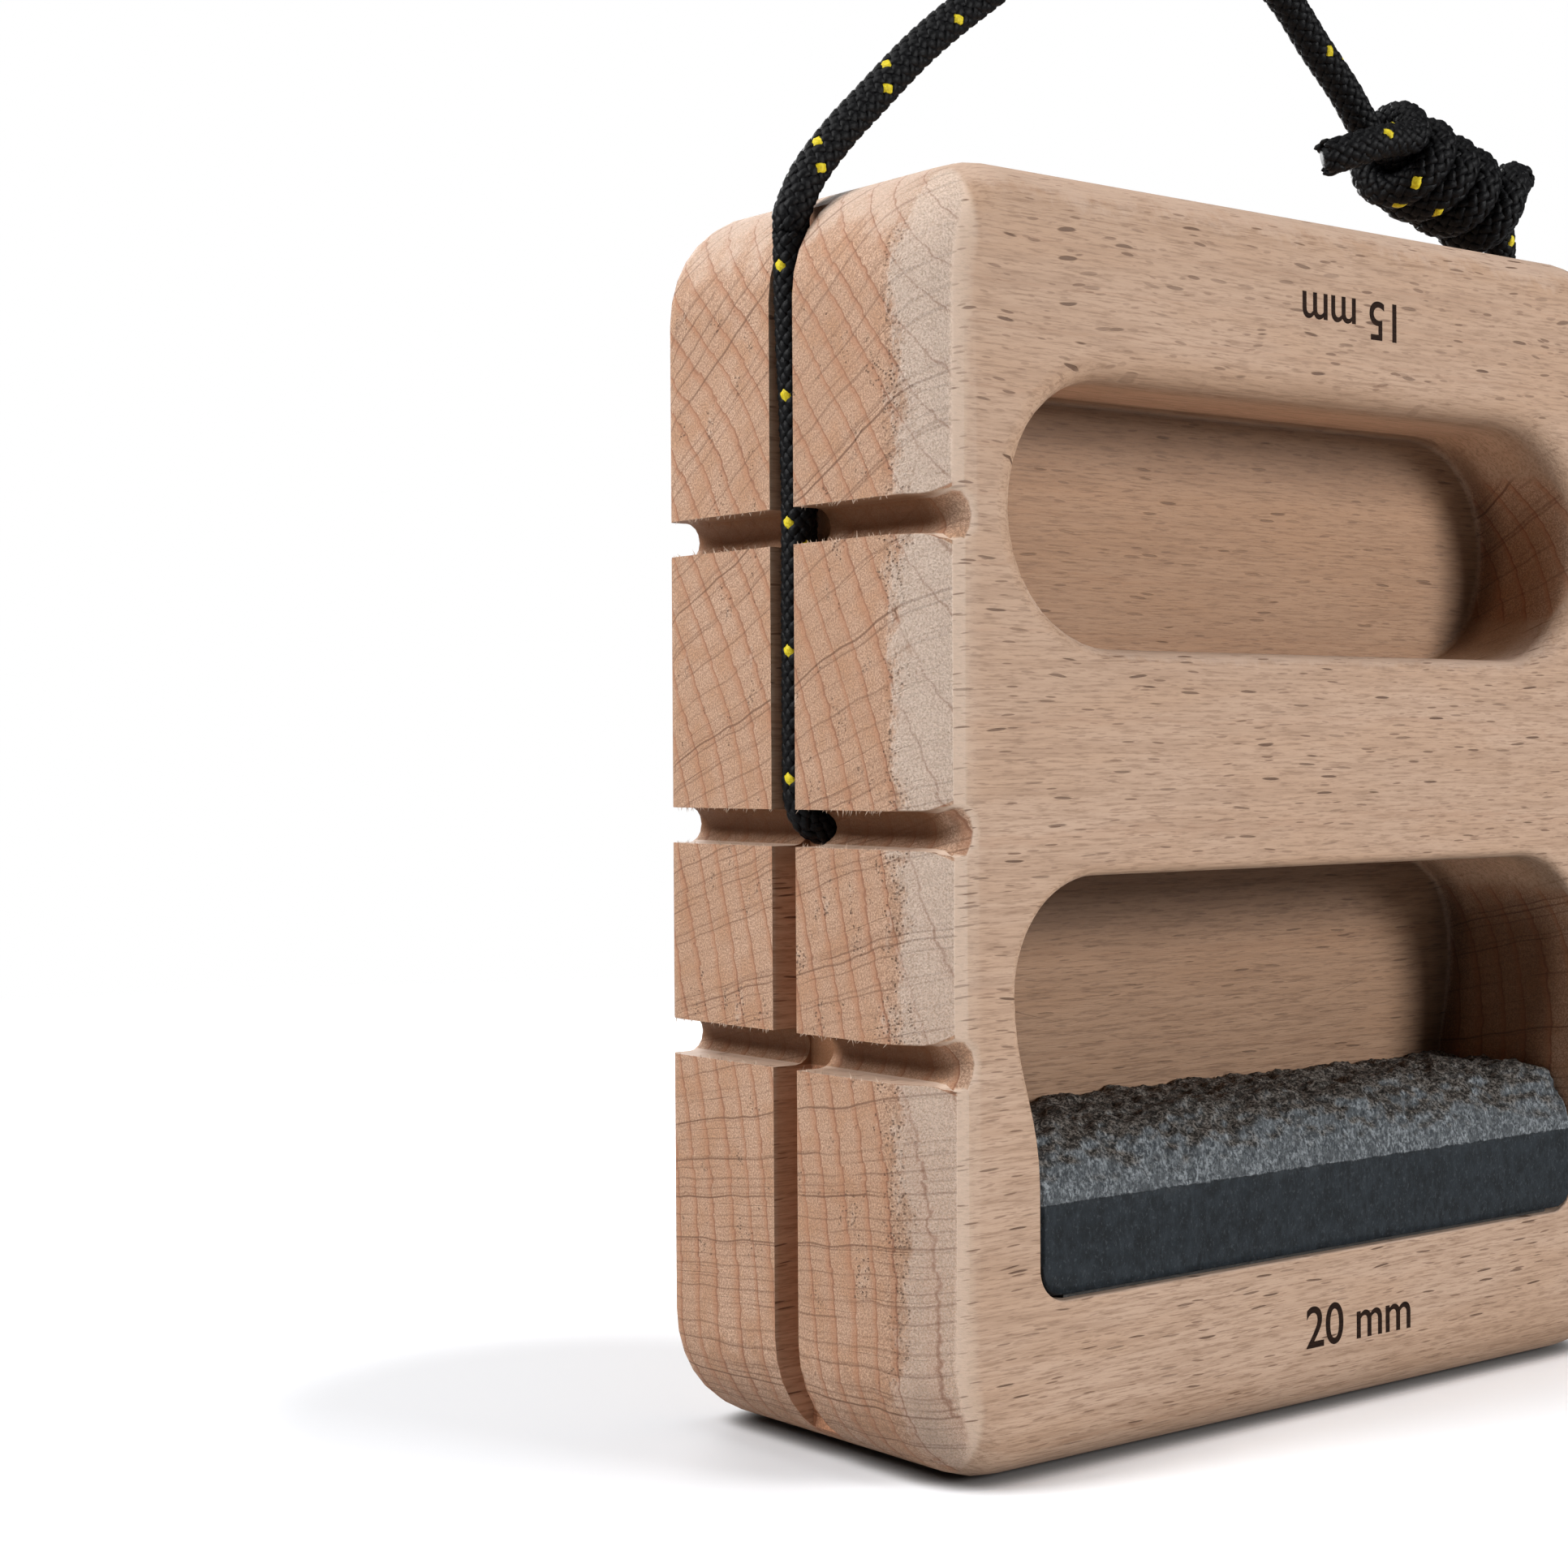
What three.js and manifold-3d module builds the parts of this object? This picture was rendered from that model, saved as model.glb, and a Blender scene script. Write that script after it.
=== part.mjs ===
// Portable hangboard: a beech block with two finger pockets in its front face, a split stone bar glued
// into the lower pocket as a 20 mm edge, and a cord loop that runs down the end grooves, through the
// block and back up to a wound knot above it. Millimetres, +Z up, +X along the block, front face at -Y,
// origin in the middle of the face that the block stands on.

import * as THREE from "three";
import { mergeVertices } from "three/addons/utils/BufferGeometryUtils.js";
import Module from "manifold-3d";

const wasm = await Module();
wasm.setup();

// Block
const block_length = 120;
const block_thickness = 45;
const block_height = 135;
const corner_radius = 13;
const front_edge_radius = 7;
const back_edge_radius = 4;

// Upper pocket: its ceiling is the 15 mm edge, used with the block turned over
const upper_pocket_depth = 15;
const upper_pocket_floor = 85.2;
const upper_pocket_height = 28;
const upper_pocket_inset = 13.2;
const upper_lip_top = 3.5;
const upper_lip_end = 3.5;
const upper_lip_floor = 2;

// Lower pocket: the finger space above the stone, which narrows to the recess that holds the stone
const lower_pocket_ceiling = 61.6;
const lower_pocket_inset = 12.6;
const lower_pocket_corner = 11.7;
const lower_lip = 1.4;
const shoulder_start = 30;
const shoulder_reach = 8.5;
const recess_floor = 18.2;
const recess_inset = 15.4;
const recess_corner = 3.5;
const recess_lip = 0.3;
const recess_root_radius = 0.1;
const pocket_root_radius = 0.8;

// Stone bar and the adhesive that beds it
const stone_depth = 20;
const stone_top = 36;
const stone_smooth_band = 9.6;
const stone_round_depth = 7.5;
const stone_chip = 0.55;
const stone_end_gap = 0.5;
const adhesive_thickness = 0.3;
const adhesive_margin = 1;
const seat_gap = 0.05;

// Cord, end grooves, notches and the bore between them
const cord_diameter = 4;
const groove_width = 4;
const groove_depth = 5.1;
const notch_heights = [43.4, 66.7, 98.2];
const notch_width = 3.9;
const notch_depth = 5;
const notch_front_flare = 2.5;
const notch_back_flare = 1.8;
const bore_diameter = 4.6;
const bore_mouth_flare = 0.6;
const bore_height = notch_heights[1];
const bore_forward = 0.8;
const cord_depth_in_groove = 2.3;
const cord_bend_radius = 4.6;
const cord_gap = 0.3;

// Knot: turns of cord wound round the loop, with two short tails. A tail's lean is its angle from the
// loop's line, and the first angle is where the winding starts, counted from below towards the front.
const degree = Math.PI / 180;
const knot_turns = 4;
const knot_turn_gap = 1;
const knot_core_gap = 0.5;
const knot_bend_radius = 3.6;
const knot_first_angle = 80 * degree;
const left_tail_length = 9.5;
const left_tail_lean = 28 * degree;
const right_tail_length = 4.5;
const right_tail_lean = 40 * degree;
const tail_spread_share = 0.5;

// The loop's free stretch above the block, from the left groove over to the right one. It is a cord's
// route, so its points are chosen by hand; inside the knot it bends gently from its start to its end.
const tilt_axis_height = 131;
const loop_end_inset = 1.5;
const loop_rise = [
  [-58.5, 0, 131],
  [-56.3, 0, 135.2],
  [-52.2, 0, 140.1],
  [-47.8, 0, 144.4],
  [-40.2, -0.2, 151.6],
  [-33, -0.5, 157.3],
  [-21, -1, 165.6],
  [-8.5, -1.8, 171.2],
  [4, -2.7, 171.6],
  [14.8, -3, 165.8],
  [20.8, -3.1, 160.4],
  [26, -3.2, 155.9],
];
const knot_start = [31.2, -3.4, 150.6];
const knot_bend = [41.8, -4.3, 146.6];
const knot_end = [52.2, -4.9, 143.9];
const loop_fall = [
  [54.4, -4.6, 142.2],
  [56.1, -3.8, 139.6],
  [57.3, -2.5, 136.6],
  [58.2, -1, 133.6],
  [58.5, 0, 131],
];

// Facets
const overrun = 4;
const arc_steps = 8;
const lip_steps = 4;
const pocket_arc_steps = 9;
const cord_sides = 8;
const run_steps = 26;
const loop_steps = 58;
const loop_end_steps = 6;
const knot_core_steps = 5;
const knot_steps_per_turn = 24;
const knot_sides = 6;
const stone_steps = 26;
const half_turn = Math.PI;
const quarter_turn = Math.PI / 2;

// Derived places
const left_face = -block_length / 2;
const front_face = -block_thickness / 2;
const back_face = block_thickness / 2;
const cord_radius = cord_diameter / 2;
const lower_pocket_depth = stone_depth + adhesive_thickness + 2 * seat_gap;
const stone_floor = recess_floor + adhesive_thickness + 2 * seat_gap;
const stone_half_length = block_length / 2 - recess_inset - stone_end_gap;
const groove_floor = left_face + groove_depth;
const cord_in_groove = left_face + cord_depth_in_groove;

// A geometry as a solid: welded, without slivers, and with its faces turned outwards.
function solidOf(geometry) {
  const bare = geometry.clone();
  bare.deleteAttribute("normal");
  bare.deleteAttribute("uv");
  const merged = mergeVertices(bare, 1e-4);
  const positions = merged.attributes.position.array;
  const corner = (i) => new THREE.Vector3().fromArray(positions, 3 * i);
  const faces = [];
  let six_volumes = 0;
  for (let i = 0; i < merged.index.count; i += 3) {
    const [a, b, c] = merged.index.array.slice(i, i + 3);
    if (a === b || b === c || c === a) continue;
    faces.push([a, b, c]);
    six_volumes += corner(a).dot(corner(b).cross(corner(c)));
  }
  if (six_volumes < 0) faces.forEach((face) => face.reverse());
  return new wasm.Manifold(
    new wasm.Mesh({
      numProp: 3,
      vertProperties: positions,
      triVerts: new Uint32Array(faces.flat()),
    }),
  );
}

function geometryOf(solid) {
  const mesh = solid.getMesh();
  const geometry = new THREE.BufferGeometry();
  geometry.setAttribute("position", new THREE.BufferAttribute(mesh.vertProperties, 3));
  geometry.setIndex(new THREE.BufferAttribute(mesh.triVerts, 1));
  const flat = geometry.toNonIndexed();
  flat.computeVertexNormals();
  return flat;
}

// A closed skin over rings that all have the same number of points, with a fan over each end.
function loft(rings) {
  const count = rings[0].length;
  const positions = rings.flat().flatMap((p) => [p.x, p.y, p.z]);
  const faces = [];
  for (let ring = 0; ring + 1 < rings.length; ring++) {
    for (let i = 0; i < count; i++) {
      const j = (i + 1) % count;
      const low = ring * count;
      const high = low + count;
      faces.push(low + i, low + j, high + j, low + i, high + j, high + i);
    }
  }
  const last = (rings.length - 1) * count;
  for (const [start, turned] of [
    [0, true],
    [last, false],
  ]) {
    const middle = new THREE.Vector3();
    rings[start / count].forEach((p) => middle.add(p));
    middle.divideScalar(count);
    const hub = positions.push(middle.x, middle.y, middle.z) / 3 - 1;
    for (let i = 0; i < count; i++) {
      const j = (i + 1) % count;
      faces.push(hub, start + (turned ? j : i), start + (turned ? i : j));
    }
  }
  const geometry = new THREE.BufferGeometry();
  geometry.setAttribute("position", new THREE.Float32BufferAttribute(positions, 3));
  geometry.setIndex(faces);
  return geometry;
}

// Points of an outline drawn as seen from the front (across, up), each with the way it faces.
function facingPoints(outline) {
  const count = outline.length;
  return outline.map((point, i) => {
    const before = outline[(i + count - 1) % count];
    const after = outline[(i + 1) % count];
    const facing = new THREE.Vector2(after.y - before.y, before.x - after.x).normalize();
    return { point, facing };
  });
}

function roundedRectangle(half_width, bottom, top, radius, steps) {
  const shape = new THREE.Shape();
  shape.absarc(half_width - radius, bottom + radius, radius, -quarter_turn, 0);
  shape.absarc(half_width - radius, top - radius, radius, 0, quarter_turn);
  shape.absarc(radius - half_width, top - radius, radius, quarter_turn, half_turn);
  shape.absarc(radius - half_width, bottom + radius, radius, half_turn, half_turn + quarter_turn);
  return shape.getPoints(steps / 2);
}

// One ring of a front-view outline, moved out by a distance and set at a depth behind the front face.
function ringAt(facings, moveOut, depthOf) {
  return facings.map((f) => {
    const out = moveOut(f);
    return new THREE.Vector3(
      f.point.x + f.facing.x * out,
      front_face + depthOf(f),
      f.point.y + f.facing.y * out,
    );
  });
}

// A pocket's cutter: a mouth rounded over by a radius that can change round the outline, straight
// walls, and a small radius where they meet the back wall.
function pocketCutter(outline, depth, lipOf, rootOf) {
  const facings = facingPoints(outline);
  const rings = [ringAt(facings, (f) => lipOf(f), () => -overrun)];
  for (let i = 0; i <= lip_steps; i++) {
    const turn = (i / lip_steps) * quarter_turn;
    rings.push(
      ringAt(
        facings,
        (f) => lipOf(f) * (1 - Math.sin(turn)),
        (f) => lipOf(f) * (1 - Math.cos(turn)),
      ),
    );
  }
  for (let i = 0; i <= lip_steps; i++) {
    const turn = (i / lip_steps) * quarter_turn;
    rings.push(
      ringAt(
        facings,
        (f) => rootOf(f) * (Math.cos(turn) - 1),
        (f) => depth - rootOf(f) * (1 - Math.sin(turn)),
      ),
    );
  }
  return solidOf(loft(rings));
}

function upperPocket() {
  const half_width = block_length / 2 - upper_pocket_inset;
  const ceiling = upper_pocket_floor + upper_pocket_height;
  const outline = roundedRectangle(
    half_width,
    upper_pocket_floor,
    ceiling,
    upper_pocket_height / 2,
    pocket_arc_steps + 1,
  );
  const lipOf = ({ facing }) => {
    const upright = facing.y * facing.y;
    const level_lip = facing.y > 0 ? upper_lip_top : upper_lip_floor;
    return upright * level_lip + (1 - upright) * upper_lip_end;
  };
  return pocketCutter(outline, upper_pocket_depth, lipOf, () => pocket_root_radius);
}

// The lower pocket's outline: the stone's recess, a smooth shoulder at each end, and rounded corners.
function lowerPocket() {
  const recess_half = block_length / 2 - recess_inset;
  const pocket_half = block_length / 2 - lower_pocket_inset;
  const shoulder_end = lower_pocket_ceiling - lower_pocket_corner;
  const shape = new THREE.Shape();
  const recess_hub = recess_floor + recess_corner;
  shape.absarc(recess_half - recess_corner, recess_hub, recess_corner, -quarter_turn, 0);
  shape.lineTo(recess_half, shoulder_start);
  shape.bezierCurveTo(
    recess_half,
    shoulder_start + shoulder_reach,
    pocket_half,
    shoulder_end - shoulder_reach,
    pocket_half,
    shoulder_end,
  );
  shape.absarc(pocket_half - lower_pocket_corner, shoulder_end, lower_pocket_corner, 0, quarter_turn);
  const right = shape.getPoints(pocket_arc_steps);
  const left = right.map((p) => new THREE.Vector2(-p.x, p.y)).reverse();
  const risen = ({ point }) => THREE.MathUtils.smoothstep(point.y, shoulder_start, shoulder_end);
  return pocketCutter(
    [...right, ...left],
    lower_pocket_depth,
    (f) => THREE.MathUtils.lerp(recess_lip, lower_lip, risen(f)),
    (f) => THREE.MathUtils.lerp(recess_root_radius, pocket_root_radius, risen(f)),
  );
}

// The plain block: a rounded rectangle seen from the front, with its front and back edges rounded over.
function roundedBlock() {
  const outline = roundedRectangle(block_length / 2, 0, block_height, corner_radius, arc_steps);
  const facings = facingPoints(outline);
  const rings = [];
  for (let i = 0; i <= arc_steps; i++) {
    const turn = (i / arc_steps) * quarter_turn;
    rings.push(
      ringAt(
        facings,
        () => front_edge_radius * (Math.sin(turn) - 1),
        () => front_edge_radius * (1 - Math.cos(turn)),
      ),
    );
  }
  for (let i = 0; i <= arc_steps / 2; i++) {
    const turn = (i / (arc_steps / 2)) * quarter_turn;
    rings.push(
      ringAt(
        facings,
        () => back_edge_radius * (Math.cos(turn) - 1),
        () => block_thickness - back_edge_radius * (1 - Math.sin(turn)),
      ),
    );
  }
  return solidOf(loft(rings));
}

// A notch across the left end face: a round-bottomed slot from front to back, flared where it ends.
function notchCutter(height) {
  const half_width = notch_width / 2;
  const shape = new THREE.Shape();
  const hub = left_face + notch_depth - half_width;
  shape.moveTo(left_face - overrun, height - half_width);
  shape.lineTo(hub, height - half_width);
  shape.absarc(hub, height, half_width, -quarter_turn, quarter_turn);
  shape.lineTo(left_face - overrun, height + half_width);
  const facings = facingPoints(shape.getPoints(arc_steps / 2));
  const rings = [ringAt(facings, () => notch_front_flare, () => -overrun)];
  for (let i = 0; i <= lip_steps; i++) {
    const turn = (i / lip_steps) * quarter_turn;
    rings.push(
      ringAt(
        facings,
        () => notch_front_flare * (1 - Math.sin(turn)),
        () => notch_front_flare * (1 - Math.cos(turn)),
      ),
    );
  }
  for (let i = 0; i <= lip_steps; i++) {
    const turn = (i / lip_steps) * quarter_turn;
    rings.push(
      ringAt(
        facings,
        () => notch_back_flare * (1 - Math.cos(turn)),
        () => block_thickness - notch_back_flare * (1 - Math.sin(turn)),
      ),
    );
  }
  rings.push(ringAt(facings, () => notch_back_flare, () => block_thickness + overrun));
  return loft(rings);
}

// The upright groove in the left end face. It keeps its depth, so it runs out in the round corners.
function grooveCutter() {
  const groove = new THREE.BoxGeometry(
    groove_depth + overrun,
    groove_width,
    block_height + 2 * overrun,
  );
  groove.translate(left_face + (groove_depth - overrun) / 2, 0, block_height / 2);
  return groove;
}

// The bore through the middle bar, turned about its axis and opened out at both mouths. Outside its
// mouths the cutter is no wider than the notch that it starts from.
function boreCutter() {
  const radius = bore_diameter / 2;
  const mouth = -groove_floor;
  const outside = notch_width / 2;
  const profile = [new THREE.Vector2(0, -block_length)];
  profile.push(new THREE.Vector2(outside, -block_length), new THREE.Vector2(outside, -mouth));
  for (const side of [-1, 1]) {
    for (let i = 0; i <= lip_steps; i++) {
      const turn = ((side < 0 ? i : lip_steps - i) / lip_steps) * quarter_turn;
      const out = bore_mouth_flare * (1 - Math.sin(turn));
      const along = side * (mouth - bore_mouth_flare * (1 - Math.cos(turn)));
      profile.push(new THREE.Vector2(radius + out, along));
    }
  }
  profile.push(new THREE.Vector2(outside, mouth), new THREE.Vector2(outside, block_length));
  profile.push(new THREE.Vector2(0, block_length));
  const bore = new THREE.LatheGeometry(profile, 3 * arc_steps);
  bore.rotateZ(quarter_turn);
  bore.translate(0, -bore_forward, bore_height);
  return bore;
}

function woodBlock() {
  const left_cuts = [grooveCutter(), ...notch_heights.map(notchCutter)];
  const right_cuts = left_cuts.map((cut) => cut.clone().scale(-1, 1, 1));
  let block = roundedBlock().subtract(upperPocket()).subtract(lowerPocket());
  for (const cut of [...left_cuts, ...right_cuts, boreCutter()]) {
    block = block.subtract(solidOf(cut));
  }
  return block;
}

// How far a chipped stone surface stands off its mean, at a place along the bar and round its edge.
function chip(along_share, round_share) {
  const ridges = Math.sin(37 * along_share + 5 * round_share) + Math.sin(91 * along_share + 2);
  const flakes = Math.sin(173 * along_share - 11 * round_share) + Math.cos(59 * along_share);
  return (stone_chip * (ridges + flakes)) / 4;
}

// The stone bar: sawn below, behind and up to the end of its smooth front band, split and chipped above.
function stoneInsert() {
  const smooth_top = stone_floor + stone_smooth_band;
  const rise = stone_top - smooth_top;
  const corner = recess_corner - stone_end_gap;
  const back = front_face + stone_depth;
  const places = [];
  for (let i = 0; i <= lip_steps; i++) {
    places.push(-stone_half_length + corner * (1 - Math.cos((i / lip_steps) * quarter_turn)));
  }
  for (let i = 1; i < stone_steps; i++) {
    places.push(THREE.MathUtils.lerp(-1, 1, i / stone_steps) * (stone_half_length - corner));
  }
  for (let i = lip_steps; i >= 0; i--) {
    places.push(stone_half_length - corner * (1 - Math.cos((i / lip_steps) * quarter_turn)));
  }
  const rings = places.map((along) => {
    const from_end = Math.min(corner, stone_half_length - Math.abs(along));
    const lifted = corner - Math.sqrt(corner ** 2 - (corner - from_end) ** 2);
    const along_share = (along + stone_half_length) / (2 * stone_half_length);
    const ring = [
      new THREE.Vector3(along, back, stone_floor + lifted),
      new THREE.Vector3(along, front_face, stone_floor + lifted),
      new THREE.Vector3(along, front_face, smooth_top),
    ];
    for (let i = 1; i <= arc_steps; i++) {
      const round_share = i / arc_steps;
      const turn = round_share * quarter_turn;
      const off = chip(along_share, round_share);
      ring.push(
        new THREE.Vector3(
          along,
          front_face + stone_round_depth * (1 - Math.cos(turn)) + Math.abs(off),
          smooth_top + rise * Math.sin(turn) + off * round_share,
        ),
      );
    }
    const middle = (front_face + stone_round_depth + back) / 2;
    ring.push(new THREE.Vector3(along, middle, stone_top + chip(along_share, 2)));
    ring.push(new THREE.Vector3(along, back, stone_top + chip(along_share, 1 / 2)));
    return ring;
  });
  return solidOf(loft(rings));
}

// The adhesive: a thin bed under the stone and another behind it, in one L-shaped piece.
function adhesiveBed() {
  const length = 2 * (stone_half_length - recess_corner);
  const floor_run = lower_pocket_depth - adhesive_margin - seat_gap;
  const floor_bed = new THREE.BoxGeometry(length, floor_run, adhesive_thickness);
  floor_bed.translate(
    0,
    front_face + adhesive_margin + floor_run / 2,
    recess_floor + seat_gap + adhesive_thickness / 2,
  );
  const back_rise = stone_smooth_band + adhesive_thickness;
  const back_bed = new THREE.BoxGeometry(length, adhesive_thickness, back_rise);
  back_bed.translate(
    0,
    front_face + lower_pocket_depth - seat_gap - adhesive_thickness / 2,
    recess_floor + seat_gap + back_rise / 2,
  );
  return solidOf(floor_bed).add(solidOf(back_bed));
}

// A tube of cord along a curve, which can be pressed narrower one way.
function cordTube(path, steps, sides, radius, half_width = radius) {
  const section = new THREE.Shape().absellipse(0, 0, half_width, radius, 0, 2 * half_turn);
  return new THREE.ExtrudeGeometry(section, {
    steps,
    curveSegments: sides / 2,
    bevelEnabled: false,
    extrudePath: path,
  });
}

// The cord in the left groove, which presses it narrower: down from the top, then round the bend into
// the bore.
function grooveRun() {
  const path = new THREE.CurvePath();
  const top = new THREE.Vector3(cord_in_groove, 0, tilt_axis_height - cord_radius - cord_gap);
  const bend_top = new THREE.Vector3(cord_in_groove, 0, bore_height + cord_bend_radius);
  const bend_corner = new THREE.Vector3(cord_in_groove, 0, bore_height);
  const inBore = (reach) => new THREE.Vector3(cord_in_groove + reach, -bore_forward, bore_height);
  const mouth = inBore(cord_bend_radius / 2);
  const bend_end = inBore(cord_bend_radius);
  path.add(new THREE.LineCurve3(top, bend_top));
  path.add(new THREE.CubicBezierCurve3(bend_top, bend_corner, mouth, bend_end));
  path.add(new THREE.LineCurve3(bend_end, inBore(2 * cord_bend_radius)));
  return cordTube(path, run_steps, cord_sides, cord_radius, groove_width / 2 - cord_gap);
}

function boreRun() {
  const reach = -cord_in_groove - 2 * cord_bend_radius - cord_gap;
  const path = new THREE.LineCurve3(
    new THREE.Vector3(-reach, -bore_forward, bore_height),
    new THREE.Vector3(reach, -bore_forward, bore_height),
  );
  return cordTube(path, 1, cord_sides, cord_radius);
}

// The loop's line inside the knot.
function knotCore() {
  return new THREE.QuadraticBezierCurve3(
    new THREE.Vector3(...knot_start),
    new THREE.Vector3(...knot_bend),
    new THREE.Vector3(...knot_end),
  );
}

// The free loop: one tube over the block and through the knot. Its two ends are rounded about the line
// that the loop tips over, so that they turn in place.
function freeLoop() {
  const placed = (route) => route.map((p) => new THREE.Vector3(...p));
  const points = [...placed(loop_rise), ...knotCore().getPoints(knot_core_steps), ...placed(loop_fall)];
  const path = new THREE.CatmullRomCurve3(points, false, "centripetal");
  let loop = solidOf(cordTube(path, loop_steps, cord_sides, cord_radius));
  for (const side of [-1, 1]) {
    const end = new THREE.SphereGeometry(cord_radius, cord_sides, loop_end_steps);
    end.translate(side * (block_length / 2 - loop_end_inset), 0, tilt_axis_height);
    loop = loop.add(solidOf(end));
  }
  return loop;
}

// The knot's winding, worked out on the unrolled cylinder round the loop: a straight tail, a bend, the
// turns, a bend and the other tail, as one unbroken line.
class KnotWinding extends THREE.Curve {
  constructor() {
    super();
    this.core = knotCore();
    this.span = this.core.getLength();
    this.front = new THREE.Vector3(0, -1, 0);
    this.radius = cord_diameter + knot_core_gap;
    this.pitch = cord_diameter + knot_turn_gap;
    this.steep = quarter_turn - Math.atan(this.pitch / (2 * half_turn * this.radius));
    this.wound = (knot_turns * 2 * half_turn * this.radius) / Math.sin(this.steep);
    this.lengths = [
      left_tail_length,
      (this.steep - left_tail_lean) * knot_bend_radius,
      this.wound,
      (this.steep - right_tail_lean) * knot_bend_radius,
      right_tail_length,
    ];
    this.total = this.lengths.reduce((sum, length) => sum + length);
    this.first = (this.span - this.pitch * knot_turns) / 2;
  }

  // How far a bend has gone along the axis and round the cylinder, a distance after its tail.
  bent(lean, distance) {
    const heading = lean + distance / knot_bend_radius;
    return [
      knot_bend_radius * (Math.sin(heading) - Math.sin(lean)),
      knot_bend_radius * (Math.cos(lean) - Math.cos(heading)),
    ];
  }

  // Along the axis, round the cylinder and out from it, at a distance along the line.
  unrolled(distance) {
    const [tail, left_bend, wound, right_bend] = this.lengths;
    const [left_reach, left_rise] = this.bent(left_tail_lean, left_bend);
    const [right_reach, right_rise] = this.bent(right_tail_lean, right_bend);
    const spread = (away) => (tail_spread_share * away * away) / (away + cord_diameter);
    let left = distance;
    if (left < tail) {
      const away = tail - left;
      return [
        this.first - left_reach - away * Math.cos(left_tail_lean),
        -away * Math.sin(left_tail_lean),
        spread(away),
      ];
    }
    left -= tail;
    if (left < left_bend) {
      const [along, round] = this.bent(left_tail_lean, left);
      return [this.first - left_reach + along, round, 0];
    }
    left -= left_bend;
    const run = Math.min(left, wound);
    const wound_along = this.first + run * Math.cos(this.steep);
    const wound_round = left_rise + run * Math.sin(this.steep);
    if (left < wound) return [wound_along, wound_round, 0];
    left -= wound;
    const tail_along = wound_along + right_reach;
    const tail_round = wound_round + right_rise;
    if (left < right_bend) {
      const [along, round] = this.bent(right_tail_lean, right_bend - left);
      return [tail_along - along, tail_round - round, 0];
    }
    left -= right_bend;
    return [
      tail_along + left * Math.cos(right_tail_lean),
      tail_round + left * Math.sin(right_tail_lean),
      spread(left),
    ];
  }

  getPoint(t, target = new THREE.Vector3()) {
    const [along, round, out] = this.unrolled(t * this.total);
    const angle = knot_first_angle + round / this.radius;
    const reach = this.radius + out;
    const share = THREE.MathUtils.clamp(along / this.span, 0, 1);
    const axis = this.core.getTangentAt(share);
    const down = new THREE.Vector3().crossVectors(axis, this.front).normalize();
    return target
      .copy(this.core.getPointAt(share))
      .addScaledVector(axis, along - share * this.span)
      .addScaledVector(down, reach * Math.cos(angle))
      .addScaledVector(this.front, reach * Math.sin(angle));
  }
}

// The least gap between stretches of the winding that lie more than half a turn apart along it.
function leastGap(path, steps) {
  const points = path.getSpacedPoints(steps);
  const apart = Math.ceil((half_turn * path.radius * steps) / path.total);
  let least = Infinity;
  for (let i = 0; i <= steps; i++) {
    for (let j = i + apart; j <= steps; j++) {
      least = Math.min(least, points[i].distanceTo(points[j]) - cord_diameter);
    }
  }
  return least;
}

const knot_path = new KnotWinding();
const knot_steps = Math.round(
  (knot_path.total / (2 * half_turn * knot_path.radius)) * knot_steps_per_turn,
);
console.log(`knot: least gap to itself ${leastGap(knot_path, 8 * knot_steps).toFixed(2)} mm`);

const beech = new THREE.MeshStandardMaterial({ color: 0xc8a184, roughness: 0.72 });
const stone = new THREE.MeshStandardMaterial({ color: 0x5b6268, roughness: 0.9 });
const adhesive = new THREE.MeshStandardMaterial({ color: 0x2a2724, roughness: 0.5 });
const cord = new THREE.MeshStandardMaterial({ color: 0x0c0d0f, roughness: 0.6 });

const hangboard = new THREE.Group();

function addPiece(name, solid, material) {
  const mesh = new THREE.Mesh(geometryOf(solid), material);
  mesh.name = name;
  hangboard.add(mesh);
}

const left_run = grooveRun();
addPiece("wood_block", woodBlock(), beech);
addPiece("stone_insert", stoneInsert(), stone);
addPiece("stone_adhesive", adhesiveBed(), adhesive);
addPiece("cord_left_run", solidOf(left_run), cord);
addPiece("cord_bore_run", solidOf(boreRun()), cord);
addPiece("cord_right_run", solidOf(left_run.clone().scale(-1, 1, 1)), cord);
addPiece("cord_loop", freeLoop(), cord);
addPiece("cord_knot", solidOf(cordTube(knot_path, knot_steps, knot_sides, cord_radius)), cord);

export default hangboard;
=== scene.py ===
"""Looks of the portable hangboard: beech with its rays and rings, split stone, braided cord with a knot.

The row frame is in metres: +X along the block, front face at -Y, +Z up, origin under the block's middle.
Lengths here are in millimetres, and MM turns them into metres.
"""

import math

import bpy
import numpy as np
from mathutils import Matrix, Vector, noise

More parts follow.
